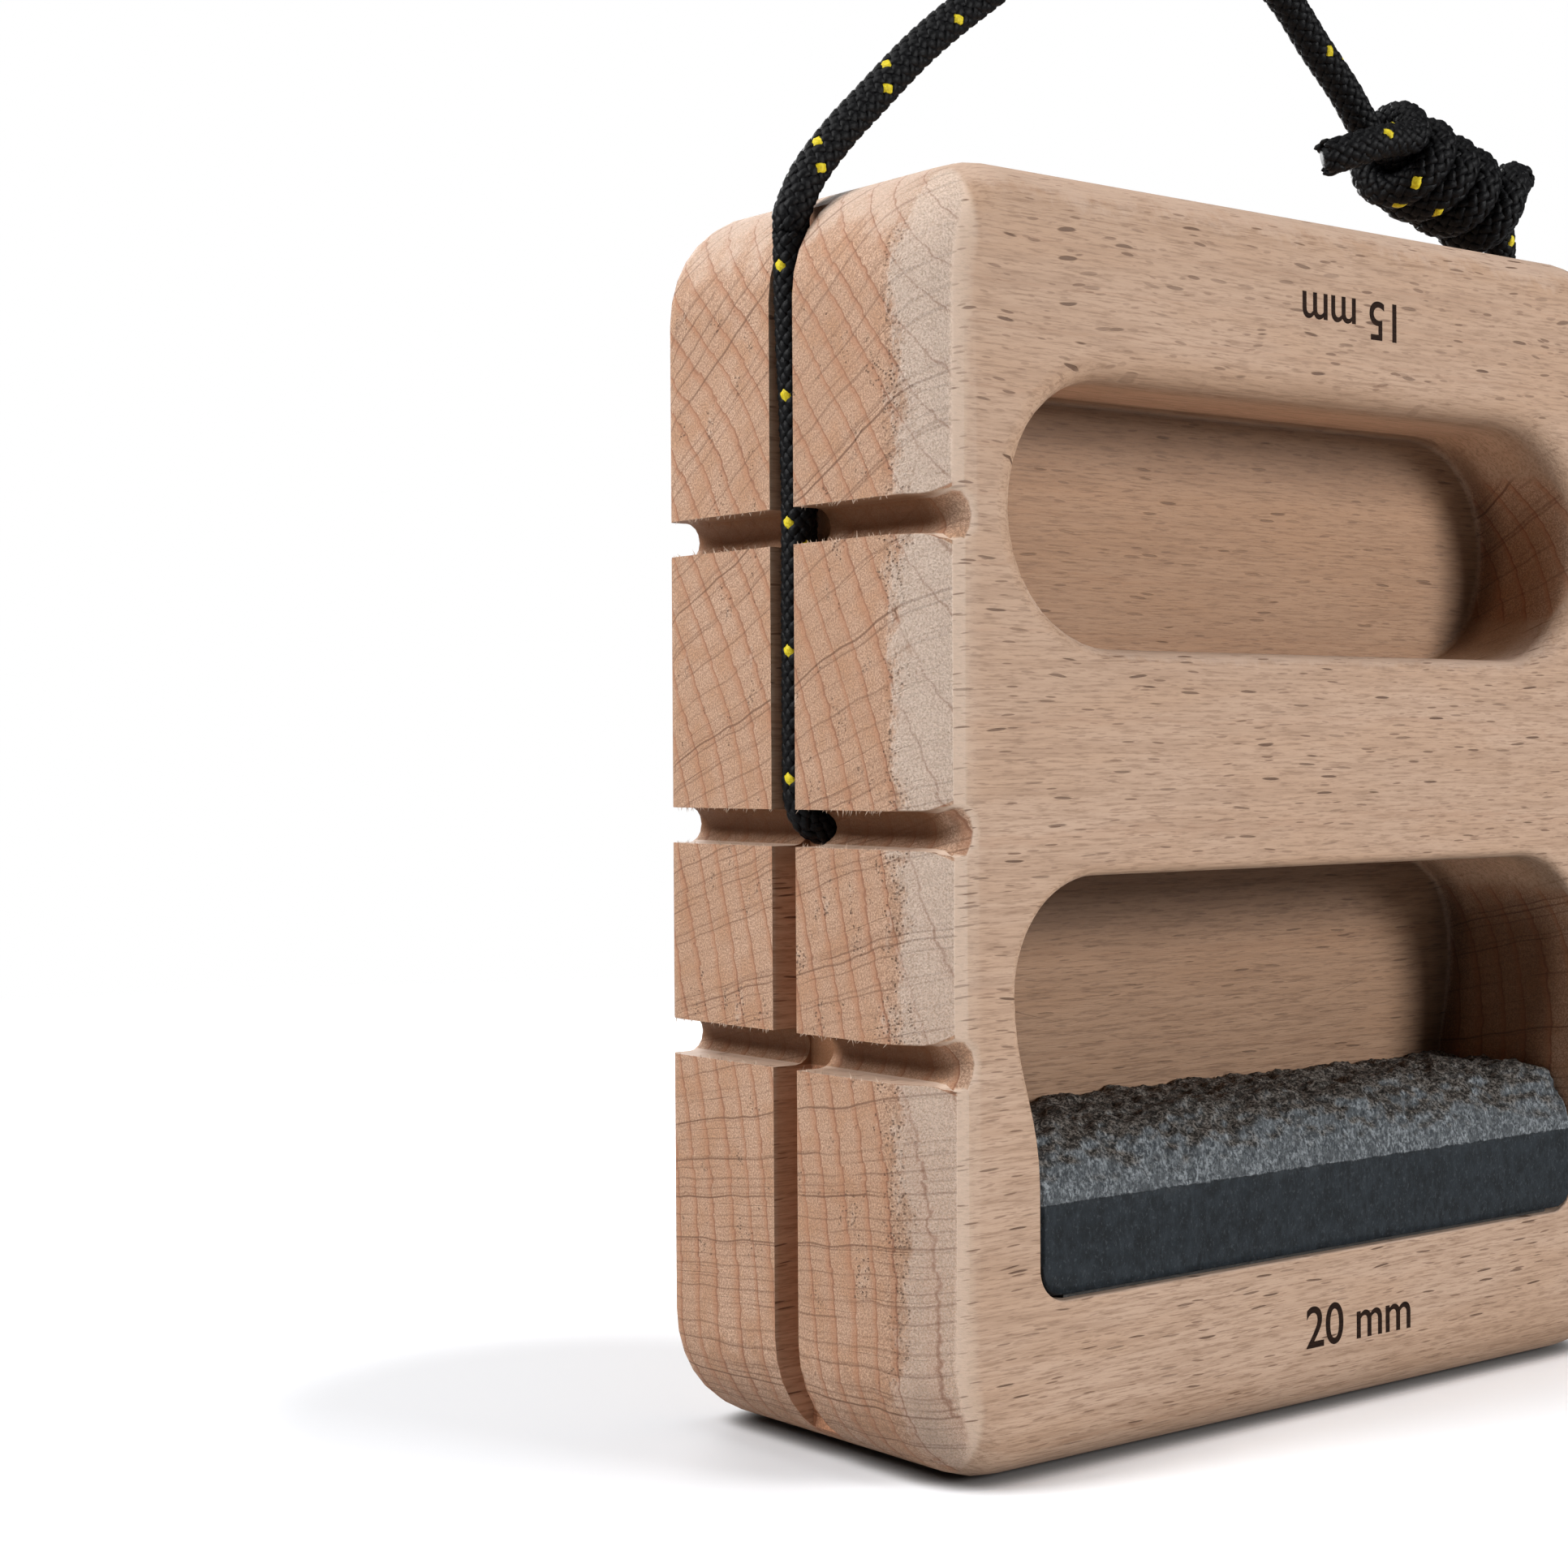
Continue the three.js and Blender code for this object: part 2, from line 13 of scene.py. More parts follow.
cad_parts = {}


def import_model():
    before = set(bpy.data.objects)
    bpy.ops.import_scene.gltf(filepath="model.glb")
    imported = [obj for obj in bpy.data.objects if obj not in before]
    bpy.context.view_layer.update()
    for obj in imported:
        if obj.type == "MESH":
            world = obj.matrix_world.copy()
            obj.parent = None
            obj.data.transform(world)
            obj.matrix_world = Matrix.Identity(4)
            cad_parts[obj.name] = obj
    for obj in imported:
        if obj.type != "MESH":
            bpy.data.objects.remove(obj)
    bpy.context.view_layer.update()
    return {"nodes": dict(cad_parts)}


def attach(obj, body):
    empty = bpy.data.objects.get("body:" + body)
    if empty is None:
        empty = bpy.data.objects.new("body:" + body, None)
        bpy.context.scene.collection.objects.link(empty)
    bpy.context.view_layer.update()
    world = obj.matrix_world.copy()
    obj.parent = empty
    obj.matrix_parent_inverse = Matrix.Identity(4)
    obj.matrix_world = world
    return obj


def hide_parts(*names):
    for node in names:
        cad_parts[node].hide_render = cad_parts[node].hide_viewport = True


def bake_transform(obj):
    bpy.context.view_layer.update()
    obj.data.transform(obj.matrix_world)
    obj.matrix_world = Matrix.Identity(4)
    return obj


MM = 0.001

# Block
LENGTH, THICKNESS, HEIGHT = 120.0, 45.0, 135.0
FRONT = -THICKNESS / 2
GROOVE_WIDTH = 4.0
NOTCH_WIDTH, NOTCH_FLARE = 3.9, 2.5
NOTCH_HEIGHTS = (43.4, 66.7, 98.2)
BORE_HEIGHT, BORE_FORWARD = NOTCH_HEIGHTS[1], 0.8

# Stone
STONE_HALF, STONE_FLOOR, STONE_TOP, STONE_DEPTH = 44.3, 18.35, 36.0, 20.0
STONE_BAND, STONE_ROUND, STONE_END_ROUND = 9.85, 7.5, 3.0
STONE_STEP = 0.34

# Finger pockets: where each one's back wall, ceiling and ends are
POCKETS = ((FRONT + 15.0, 113.2, 46.8), (FRONT + STONE_DEPTH + 0.8, 61.6, 47.4))

# Cord
CORD = 4.1
CORD_STEP = 0.24
STRANDS, STRAND_SIDES = 8, 6
STRAND_MIDDLE, STRAND_LIFT, STRAND_HALF_WIDTH, STRAND_HALF_THICKNESS = 1.55, 0.17, 0.60, 0.33
CORE_RADIUS, CORE_SIDES, CORE_STEP = 1.35, 10, 0.8
LAY_LENGTH, PATTERN_START, FLARE_REACH = 13.4, 2.6, 2.2
PIVOT_HEIGHT = 131.0
SUNK = [
    (128.8, 1.5),
    (124.0, 1.5),
    (117.0, 1.8),
    (110.7, 2.15),
    (102.0, 2.4),
    (90.0, 2.3),
    (71.3, 2.3),
]
BEND = 4.6
ROUTE_LEFT = [
    (-58.5, 0, 131),
    (-56.3, 0, 135.2),
    (-52.2, 0, 140.1),
    (-47.8, 0, 144.4),
    (-40.2, -0.2, 151.6),
    (-33, -0.5, 157.3),
    (-21, -1, 165.6),
    (-8.5, -1.8, 171.2),
    (4, -2.7, 171.6),
    (14.8, -3, 165.8),
    (20.8, -3.1, 160.4),
    (26, -3.2, 155.9),
]
ROUTE_RIGHT = [
    (54.4, -4.6, 142.2),
    (56.1, -3.8, 139.6),
    (57.3, -2.5, 136.6),
    (58.2, -1, 133.6),
    (58.5, 0, 131),
]

# Knot
KNOT_START, KNOT_BEND, KNOT_END = (31.2, -3.4, 150.6), (41.8, -4.3, 146.6), (52.2, -4.9, 143.9)
TURNS, TURN_PITCH, TURN_RADIUS, TAIL_BEND = 4.0, 4.7, 4.35, 3.6
FIRST_ANGLE, LEFT_LEAN, RIGHT_LEAN = math.radians(80), math.radians(28), math.radians(40)
LEFT_TAIL, RIGHT_TAIL, TAIL_SPREAD, KNOT_SHIFT = 11.0, 4.3, 0.5, 0.6

# Torn fibres at the notches, and size marks
FIBRES_PER_EDGE = 60
MARK_SIZE, MARK_BOLDER, MARK_HALF_THICKNESS, MARK_PROUD = 5, 0.04, 0.01, 0.012

# Beech: the heart lies behind the block, and the rings and rays turn away above a height
HEART_BEHIND, RING_RADIUS, RING_GAP, TURN_HEIGHT = 210.0, 215.0, 3.3, 70.0
ROUND_ENDS = 52.0

SIDE_PALE, SIDE_BROWN, SIDE_MOTTLED = (0.545, 0.372, 0.266), (0.485, 0.320, 0.218), (0.46, 0.28, 0.17)
SIDE_STREAK, SIDE_PORES, SIDE_RING = (0.37, 0.23, 0.148), (0.28, 0.165, 0.10), (0.40, 0.22, 0.13)
# Paler edges of the side grain: on top, partly sanded wear and partly painted light; towards the ends,
# painted light.
SIDE_TOP_SANDED_AND_LIT, SIDE_ROUNDOVER_LIGHT = (0.66, 0.51, 0.42), (0.74, 0.57, 0.45)
END_PALE, END_BROWN, END_MOTTLED = (0.63, 0.412, 0.288), (0.56, 0.345, 0.225), (0.52, 0.27, 0.14)
END_PORES, END_SHADE = (0.31, 0.17, 0.10), (0.43, 0.20, 0.105)
END_RING, END_RAY, END_PIT = (0.27, 0.115, 0.06), (0.16, 0.07, 0.035), (0.20, 0.105, 0.055)
FIBRE_DARK, FIBRE_PALE = (0.56, 0.41, 0.31), (0.86, 0.70, 0.59)
# Brown of the grooves and notches: partly burnished by the cutters, partly painted shade.
BURNISHED_AND_SHADE = (0.19, 0.077, 0.026)

# What the wood's colour is multiplied by: painted shade in the pockets, in the lower one and at its ends, at
# their roots and along a seam under each ceiling, painted light on their ceilings, and painted shade in the
# end grooves
PAINTED_POCKET_SHADE, PAINTED_CEILING_LIGHT = (0.76, 0.67, 0.56), (1.36, 1.28, 1.22)
PAINTED_LOWER_WALL_SHADE, PAINTED_LOWER_END_SHADE = (0.80, 0.79, 0.78), (0.68, 0.66, 0.64)
PAINTED_SEAM_SHADE, PAINTED_ROOT_SHADE, GROOVE_SHADE_TINT = (0.74, 0.69, 0.64), (0.56, 0.52, 0.48), (1.08, 0.9, 0.8)

# Rays seen on a face along the grain: length, gap, reach from the heart, size and shift; how dark; colour
FLECKS = (
    ((9.5, 0.72, 90.0, 0.165, 0.0), 0.95, (0.115, 0.055, 0.028)),
    ((5.5, 0.5, 45.0, 0.2, 31.7), 0.8, (0.15, 0.073, 0.038)),
    ((3.0, 0.32, 20.0, 0.24, 57.1), 0.45, (0.18, 0.09, 0.05)),
)
# Rays seen on the end grain: gap, width, shift, how soon they fade; how dark
END_RAYS = (
    ((2.3, 0.15, 3.0, 0.05), 1.0),
    ((1.4, 0.13, 71.0, 0.08), 0.75),
    ((0.6, 0.1, 140.0, 0.2), 0.22),
)

# The stone's sawn band, its split part and its top
SAWN_DARK, SAWN_PALE = (0.003, 0.0055, 0.008), (0.010, 0.015, 0.020)
SAWN_SCUFF, SAWN_GRIT = (0.021, 0.028, 0.035), (0.075, 0.085, 0.095)
SPLIT_DARK, SPLIT_PALE = (0.055, 0.063, 0.072), (0.36, 0.39, 0.41)
SPLIT_GRAINS, SPLIT_PATCHES = (0.05, 0.057, 0.064), (0.10, 0.11, 0.118)
TOP_DARK, TOP_PALE, TOP_GRAINS = (0.016, 0.014, 0.012), (0.30, 0.27, 0.24), (0.014, 0.012, 0.010)

# Dark and light of the smaller materials
BLACK_YARN = (0.0012, 0.0012, 0.0016), (0.006, 0.006, 0.007)
YELLOW_YARN = (0.55, 0.42, 0.01), (0.85, 0.72, 0.05)
GLUE = (0.010, 0.010, 0.010), (0.03, 0.026, 0.022)
SCORCHED = (0.008, 0.004, 0.003), (0.035, 0.016, 0.009)
TORN_WOOD = (0.42, 0.27, 0.18), (0.78, 0.62, 0.50)

# Camera, as fitted to the photograph
PHOTO_WIDTH, FOCAL_PIXELS, SENSOR = 1932, 3299.5, 36
CAMERA_PLACE = (-233.1, -220.5, 74.1)
CAMERA_YAW, CAMERA_PITCH, CAMERA_ROLL = 38.15, -0.57, -0.36

# Floor: a painted contact shadow right beside the block, a painted shadow round a place behind its left end,
# and white far off
CONTACT_REACH, CONTACT_SHADOW_COLOUR = 3.5, (0.2, 0.2, 0.2)
SHADE_MIDDLE, SHADE_FROM, SHADE_TO = (-62.0, 32.0, 0.0), 30.0, 80.0
FLOOR_PAINTED_SHADOW, FLOOR_PALE, FLOOR_BOUNCE = (0.68, 0.69, 0.71), (1.5, 1.53, 1.58), (0.5, 0.5, 0.5)
WHITE_FROM, WHITE_TO = 250.0, 600.0

# Stage, in metres and watts: each lamp's place, size and power
FLOOR_HALF, FLOOR_DROP = 6.0, 0.0002
LAMPS_AIM = (0, 0, 0.07)
LAMPS = {
    "key": ((0.5, -1.05, 0.42), 0.4, 12.6),
    "left": ((-0.55, 0.2, 0.55), 0.4, 6.3),
    "top": ((-0.1, 0.1, 1.2), 0.7, 3.6),
    "back": ((0.5, 1.1, 0.5), 0.6, 9.0),
}
WORLD_LIGHT, WORLD_SEEN = 0.072, 1.0


class Shader:
    """A material's node tree, written one step a line. at is the point in the row frame, in millimetres."""

    def __init__(self, name):
        self.material = bpy.data.materials.new(name)
        self.material.use_nodes = True
        self.tree = self.material.node_tree
        self.surface = self.tree.nodes["Principled BSDF"]
        coordinates = self.node("ShaderNodeTexCoord")
        scaled = self.node("ShaderNodeVectorMath", operation="SCALE")
        self.feed(scaled.inputs[0], coordinates.outputs["Object"])
        scaled.inputs["Scale"].default_value = 1 / MM
        self.at = scaled.outputs[0]
        self.facing = coordinates.outputs["Normal"]

    def node(self, kind, **settings):
        made = self.tree.nodes.new(kind)
        for name, value in settings.items():
            setattr(made, name, value)
        return made

    def feed(self, socket, value):
        if isinstance(value, bpy.types.NodeSocket):
            self.tree.links.new(value, socket)
        elif isinstance(value, (tuple, list)) and len(socket.default_value) == 4:
            socket.default_value = (*value[:3], 1.0)
        else:
            socket.default_value = value

    def math(self, operation, *values, clamp=False):
        made = self.node("ShaderNodeMath", operation=operation, use_clamp=clamp)
        for socket, value in zip(made.inputs, values):
            self.feed(socket, value)
        return made.outputs[0]

    def plus(self, first, *more):
        for value in more:
            first = self.math("ADD", first, value)
        return first

    def minus(self, first, second):
        return self.math("SUBTRACT", first, second)

    def times(self, first, *more):
        for value in more:
            first = self.math("MULTIPLY", first, value)
        return first

    def most(self, first, second):
        return self.math("MAXIMUM", first, second)

    def absolute(self, value):
        return self.math("ABSOLUTE", value)

    def distance(self, place):
        return self.vector_math("LENGTH", place).outputs["Value"]

    def vector_math(self, operation, *values):
        made = self.node("ShaderNodeVectorMath", operation=operation)
        for socket, value in zip(made.inputs, values):
            self.feed(socket, value)
        return made

    def join(self, x, y, z):
        made = self.node("ShaderNodeCombineXYZ")
        for socket, value in zip(made.inputs, (x, y, z)):
            self.feed(socket, value)
        return made.outputs[0]

    def split(self, vector):
        made = self.node("ShaderNodeSeparateXYZ")
        self.feed(made.inputs[0], vector)
        return made.outputs

    def stretched(self, x, y, z):
        return self.vector_math("MULTIPLY", self.at, (x, y, z)).outputs[0]

    def noise(self, place, detail=2.0, roughness=0.5):
        made = self.node("ShaderNodeTexNoise")
        self.feed(made.inputs["Vector"], place)
        made.inputs["Scale"].default_value = 1.0
        made.inputs["Detail"].default_value = detail
        made.inputs["Roughness"].default_value = roughness
        return made.outputs["Fac"]

    def grain(self, x, y, z, detail=2.0, roughness=0.5):
        """Noise over the object, finer along each axis the larger that axis's number."""
        return self.noise(self.stretched(x, y, z), detail, roughness)

    def cells(self, place):
        made = self.node("ShaderNodeTexVoronoi")
        self.feed(made.inputs["Vector"], place)
        made.inputs["Scale"].default_value = 1.0
        return made.outputs

    def lines(self, place, width, shift):
        """Lines at uneven distances, about one a unit: how dark each is where it lies, and 0 between."""
        made = self.node("ShaderNodeTexVoronoi", voronoi_dimensions="1D")
        self.feed(made.inputs["W"], self.plus(place, shift))
        made.inputs["Scale"].default_value = 1.0
        mark = self.step(made.outputs["Distance"], width, width * 0.35)
        return self.times(mark, self.split(made.outputs["Color"])[0])

    def random(self, number):
        made = self.node("ShaderNodeTexWhiteNoise", noise_dimensions="1D")
        self.feed(made.inputs["W"], number)
        return made.outputs["Value"]

    def step(self, value, low, high, to_low=0.0, to_high=1.0):
        """A smooth step of value from low to high."""
        made = self.node("ShaderNodeMapRange", interpolation_type="SMOOTHSTEP")
        for socket, number in zip(made.inputs, (value, low, high, to_low, to_high)):
            self.feed(socket, number)
        return made.outputs[0]

    def between(self, share, at_none, at_all):
        return self.step(share, 0.0, 1.0, at_none, at_all)

    def mix(self, share, first, second, blend="MIX"):
        made = self.node("ShaderNodeMix", data_type="RGBA", blend_type=blend)
        self.feed(made.inputs["Factor"], share)
        self.feed(made.inputs[6], first)
        self.feed(made.inputs[7], second)
        return made.outputs[2]

    def tint(self, share, colour, factors):
        return self.mix(share, colour, factors, "MULTIPLY")

    def bump(self, height, depth):
        made = self.node("ShaderNodeBump")
        made.inputs["Strength"].default_value = 1.0
        made.inputs["Distance"].default_value = depth * MM
        self.feed(made.inputs["Height"], height)
        return made.outputs[0]

    def finish(self, colour, roughness, height=None, depth=0.1):
        self.feed(self.surface.inputs["Base Color"], colour)
        self.feed(self.surface.inputs["Roughness"], roughness)
        if height is not None:
            self.feed(self.surface.inputs["Normal"], self.bump(height, depth))
        return self.material


class Beech(Shader):
    """Solid beech: growth rings round a heart far behind the block, rays that run out from it, fine pores."""

    def __init__(self):
        super().__init__("beech")
        self.x, self.y, self.z = self.split(self.at)
        self.facing_x, self.facing_y, self.facing_z = self.split(self.facing)
        self.side_x, self.side_y = self.absolute(self.x), self.absolute(self.y)
        self.radius, self.along_ring = self.growth()
        self.streaks = self.grain(0.07, 1.4, 1.4, 3.0, 0.65)
        self.fine_streaks = self.grain(0.24, 3.6, 3.6, 3.0, 0.7)
        self.speckle = self.grain(3.6, 4.8, 4.8, 3.0, 0.8)
        self.broad = self.grain(0.012, 0.07, 0.07)
        self.mottle = self.grain(0.05, 0.25, 0.25, 3.0)
        self.fuzz = self.grain(5.0, 5.0, 4.4, 3.0, 0.75)
        self.notched = self.notches()
        self.sanded, self.pits, self.top_turn = self.sanding_and_top_light()
        self.inside = self.pockets()

    def growth(self):
        """The distance from the heart, and the distance along the ring."""
        drift = self.times(self.minus(self.grain(0.01, 0.035, 0.035, 1.0), 0.5), 4.0)
        from_heart = self.minus(HEART_BEHIND, self.y)
        higher = self.math("POWER", self.most(self.minus(self.z, TURN_HEIGHT), 0.0), 2.0)
        ring_z = self.plus(self.z, self.times(higher, 0.004))
        ray_z = self.minus(self.z, self.times(higher, 0.003))
        radius = self.plus(self.distance(self.join(0.0, from_heart, ring_z)), drift)
        along_ring = self.times(self.math("ARCTAN2", ray_z, from_heart), RING_RADIUS)
        return radius, self.plus(along_ring, self.times(self.grain(0.08, 0.09, 0.09), 1.3))

    def rings(self):
        """The thin line that ends each ring, and the soft darkening before it."""
        uneven = self.noise(self.join(self.times(self.radius, 0.16), 4.0, 0.0), 1.0)
        ripple = self.grain(0.3, 0.9, 0.9)
        jog = self.random(self.math("FLOOR", self.times(self.along_ring, 1 / 1.7)))
        count = self.plus(self.times(self.radius, 1 / RING_GAP), self.times(uneven, 1.3))
        count = self.plus(count, self.times(ripple, 0.2), self.times(jog, 0.07))
        phase = self.math("FRACT", count)
        line = self.times(self.step(phase, 0.89, 0.95), self.step(phase, 0.955, 0.995, 1.0, 0.0))
        shade = self.times(self.step(phase, 0.6, 0.95), self.step(phase, 0.94, 1.0, 1.0, 0.0))
        strength = self.grain(0.02, 0.3, 0.05)
        return self.times(line, self.step(strength, 0.28, 0.6, 0.5, 1.0)), shade

    def flecks(self, length, gap, reach, size, shift):
        """Rays on a face along the grain: lens-shaped, short, very thin, long from the heart outwards."""
        along = self.plus(self.times(self.x, 1 / length), shift)
        around, outwards = self.times(self.along_ring, 1 / gap), self.times(self.radius, 1 / reach)
        found = self.cells(self.join(along, around, outwards))
        mark = self.step(found["Distance"], size, size * 0.7)
        return self.times(mark, self.between(self.split(found["Color"])[0], 0.4, 1.0))

    def end_rays(self):
        """Rays on the end grain: thin lines out from the heart, which fade and come back."""
        across = self.plus(self.along_ring, self.times(self.grain(0.05, 0.12, 0.12), 1.1))
        rays = 0.0
        for (gap, width, shift, fade), dark in END_RAYS:
            found = self.lines(self.times(across, 1 / gap), width / gap, shift)
            patches = self.join(shift, self.times(self.radius, fade), self.times(across, 0.7 / gap))
            shown = self.step(self.noise(patches), 0.3, 0.52)
            rays = self.most(rays, self.times(found, shown, dark))
        return rays

    def notches(self):
        """1 inside the notches, with their flared front mouths, and 0 outside."""
        towards_front = self.times(self.minus(FRONT + NOTCH_FLARE, self.y), 1 / NOTCH_FLARE)
        flared = self.times(self.math("POWER", self.most(towards_front, 0.0), 2.0), 0.7 * NOTCH_FLARE)
        notched = 0.0
        for notch in NOTCH_HEIGHTS:
            off = self.minus(self.absolute(self.minus(self.z, notch)), flared)
            notched = self.most(notched, self.step(off, NOTCH_WIDTH / 2 + 0.15, NOTCH_WIDTH / 2 - 0.05))
        return notched

    def sanding_and_top_light(self):
        """Sanding has left pale fibre ends on the rounded edges, and torn pits where the front one begins.
        The edges that face up are made paler, partly as sanded wear and partly as painted light.
        """
        outside = self.times(self.minus(1.0, self.notched), self.step(self.side_x, 50.0, 51.0))
        scallops = self.grain(0.2, 0.3, 0.16, 1.0)
        frayed = self.plus(self.grain(0.8, 0.8, 0.5, 4.0, 0.75), scallops)
        frayed = self.times(self.minus(frayed, 1.0), 0.8)
        front_turn, top_turn = self.plus(self.facing_y, frayed), self.plus(self.facing_z, frayed)
        # The edges that face up are made paler: partly sanded wear, partly painted light.
        sanded = self.most(self.step(front_turn, -0.16, -0.46), self.step(top_turn, 0.25, 0.75, 0.0, 0.6))
        sanded = self.times(sanded, outside, self.step(self.z, 10.0, 80.0, 0.6, 1.0))
        torn_heights = self.noise(self.join(0.0, 7.0, self.times(self.z, 0.05)))
        torn = self.times(self.step(front_turn, -0.06, -0.2), self.step(front_turn, -0.55, -0.3))
        torn = self.times(torn, self.step(torn_heights, 0.35, 0.55), outside)
        crumbs = self.step(self.cells(self.stretched(2.1, 2.1, 2.5))["Distance"], 0.36, 0.22)
        return sanded, self.times(crumbs, self.step(self.fuzz, 0.4, 0.55), torn), top_turn

    def pockets(self):
        """1 inside the finger pockets, and 0 at the block's faces and ends."""
        inside = self.times(self.step(self.y, FRONT + 2.0, FRONT + 7.0), self.step(self.y, 0.0, -1.0))
        inside = self.times(inside, self.step(self.side_x, ROUND_ENDS + 2.0, ROUND_ENDS))
        return self.times(inside, self.step(self.z, 120.0, 117.0), self.step(self.z, 10.0, 14.0))

    def side_colour(self, line):
        """Wood along the grain. It is paler on its upward-facing edges, partly sanded wear and partly painted
        light, and paler on its roundovers towards the ends, which is painted light.
        """
        higher = self.times(self.minus(self.z, HEIGHT / 2), 0.004)
        colour = self.mix(self.step(self.plus(self.broad, higher), 0.25, 0.75), SIDE_PALE, SIDE_BROWN)
        colour = self.mix(self.step(self.mottle, 0.38, 0.68, 0.0, 0.4), colour, SIDE_MOTTLED)
        colour = self.mix(self.step(self.streaks, 0.42, 0.66, 0.0, 0.5), colour, SIDE_STREAK)
        colour = self.mix(self.step(self.fine_streaks, 0.46, 0.66, 0.0, 0.7), colour, SIDE_PORES)
        colour = self.mix(self.times(line, 0.2), colour, SIDE_RING)
        # Painted light, partly sanded wear: the side grain is paler where it faces up.
        colour = self.mix(self.step(self.top_turn, 0.3, 0.8, 0.0, 0.35), colour, SIDE_TOP_SANDED_AND_LIT)
        # Painted light: the roundovers towards the ends, which turn away from the key lamp, are made paler.
        turned = self.step(self.side_x, ROUND_ENDS, ROUND_ENDS + 1.0, 0.0, 2.0)
        turned = self.math("MULTIPLY", self.absolute(self.facing_x), turned, clamp=True)
        return self.mix(turned, colour, SIDE_ROUNDOVER_LIGHT)

    def end_colour(self, line, shade):
        """End grain, with pale fibre ends where it was sanded, and paler where it faces up, partly painted
        light.
        """
        colour = self.mix(self.step(self.broad, 0.3, 0.7), END_PALE, END_BROWN)
        colour = self.mix(self.step(self.mottle, 0.42, 0.7, 0.0, 0.65), colour, END_MOTTLED)
        colour = self.mix(self.step(self.speckle, 0.42, 0.56, 0.0, 0.85), colour, END_PORES)
        colour = self.mix(self.times(shade, 0.8), colour, END_SHADE)
        fibre_ends = self.mix(self.step(self.fuzz, 0.34, 0.64), FIBRE_DARK, FIBRE_PALE)
        colour = self.mix(self.times(self.sanded, 0.85), colour, fibre_ends)
        dark = self.between(self.sanded, 0.9, 0.45)
        colour = self.mix(self.times(line, dark), colour, END_RING)
        colour = self.mix(self.times(self.end_rays(), dark), colour, END_RAY)
        return self.mix(self.times(self.pits, 0.9), colour, END_PIT)

    def shaded_pockets(self, colour):
        """Painted shade inside the pockets, darker in the lower pocket and at its ends, darker still at the
        roots and along a seam under each ceiling, and painted light on the ceilings."""
        not_ceiling = self.step(self.facing_z, -0.6, -0.1)
        lower = self.times(self.inside, self.step(self.z, 78.0, 72.0))
        # Painted shade: the walls inside the pockets are darkened and browned, all but the ceilings.
        colour = self.tint(self.times(self.inside, not_ceiling), colour, PAINTED_POCKET_SHADE)
        # Painted light: the ceilings, which face down, are lightened.
        colour = self.tint(self.times(self.inside, self.step(self.facing_z, -0.3, -1.0)), colour, PAINTED_CEILING_LIGHT)
        # Painted shade: the lower pocket is darker, and its ends darker still.
        colour = self.tint(self.times(lower, not_ceiling), colour, PAINTED_LOWER_WALL_SHADE)
        colour = self.tint(self.times(lower, self.step(self.side_x, 43.0, 46.0)), colour, PAINTED_LOWER_END_SHADE)
        # Painted shade in the root corners: under each ceiling and beside each end, near the back wall.
        root_shade = 0.0
        for wall, ceiling, end in POCKETS:
            away = self.absolute(self.minus(self.z, ceiling))
            under = self.step(self.z, ceiling - 11.0, ceiling - 3.0)
            under = self.times(under, self.step(self.y, wall - 1.8, wall - 0.4))
            beside = self.step(self.side_x, end - 12.0, end - 4.0)
            beside = self.times(beside, self.step(self.y, wall - 5.0, wall - 1.5))
            found = self.times(self.most(under, beside), self.step(self.y, wall + 1.0, wall + 0.5))
            root_shade = self.most(root_shade, self.times(found, self.step(away, 30.0, 29.0)))
            # Painted shade along a thin seam at the ceiling's height by the back wall, which hides a pale
            # line of light there.
            seam_shade = self.times(self.step(away, 1.4, 0.4), self.step(self.y, wall - 1.4, wall - 0.5))
            colour = self.tint(self.times(seam_shade, self.inside), colour, PAINTED_SEAM_SHADE)
        return self.tint(self.times(root_shade, self.inside), colour, PAINTED_ROOT_SHADE)

    def burnished_and_shaded(self, colour):
        """Darkens the end grooves and the notches brown: partly burnished by the cutters, partly painted
        shade, strongest on the notch walls that face down.
        """
        below = self.step(self.side_x, LENGTH / 2 - 0.1, LENGTH / 2 - 0.7)
        below = self.times(below, self.step(self.side_x, 53.5, 54.5))
        grooved = self.step(self.side_y, GROOVE_WIDTH / 2 + 0.05, GROOVE_WIDTH / 2 - 0.02)
        colour = self.tint(self.times(grooved, below), colour, GROOVE_SHADE_TINT)
        # Painted shade: notch walls that face down are darkened most, those that face up least.
        shaded_overhang = self.step(self.facing_z, 0.75, 0.2, 0.2, 1.0)
        found = self.most(self.times(grooved, 0.2), self.times(self.notched, shaded_overhang))
        found = self.times(found, below, self.step(self.y, -21.5, -17.0))
        return self.mix(self.times(found, 0.88), colour, BURNISHED_AND_SHADE)

    def made(self):
        line, shade = self.rings()
        flat_part = self.step(self.side_x, ROUND_ENDS, ROUND_ENDS - 2.0, 0.0, -0.4)
        end = self.step(self.plus(self.absolute(self.facing_x), flat_part), 0.33, 0.43)
        colour = self.mix(end, self.side_colour(line), self.end_colour(line, shade))
        shown = self.times(self.between(end, 1.0, 0.0), self.between(self.inside, 1.0, 0.65))
        shown = self.times(shown, self.step(self.facing_z, -0.75, -0.35, 0.3, 1.0))
        flecks = [self.flecks(*sizes) for sizes, _, _ in FLECKS]
        for marks, (_, dark, fleck_colour) in zip(flecks, FLECKS):
            colour = self.mix(self.times(marks, shown, dark), colour, fleck_colour)
        colour = self.burnished_and_shaded(self.shaded_pockets(colour))

        height = self.plus(
            self.times(self.fine_streaks, self.between(end, -0.7, 0.0)),
            self.times(self.speckle, self.between(end, 0.0, -0.9)),
            self.times(self.fuzz, self.sanded, self.between(end, 0.0, 2.0)),
        )
        height = self.minus(height, self.times(flecks[0], 0.6))
        height = self.minus(height, self.times(self.pits, end, 2.0))
        return self.finish(colour, self.step(self.speckle, 0.2, 0.8, 0.58, 0.74), height)


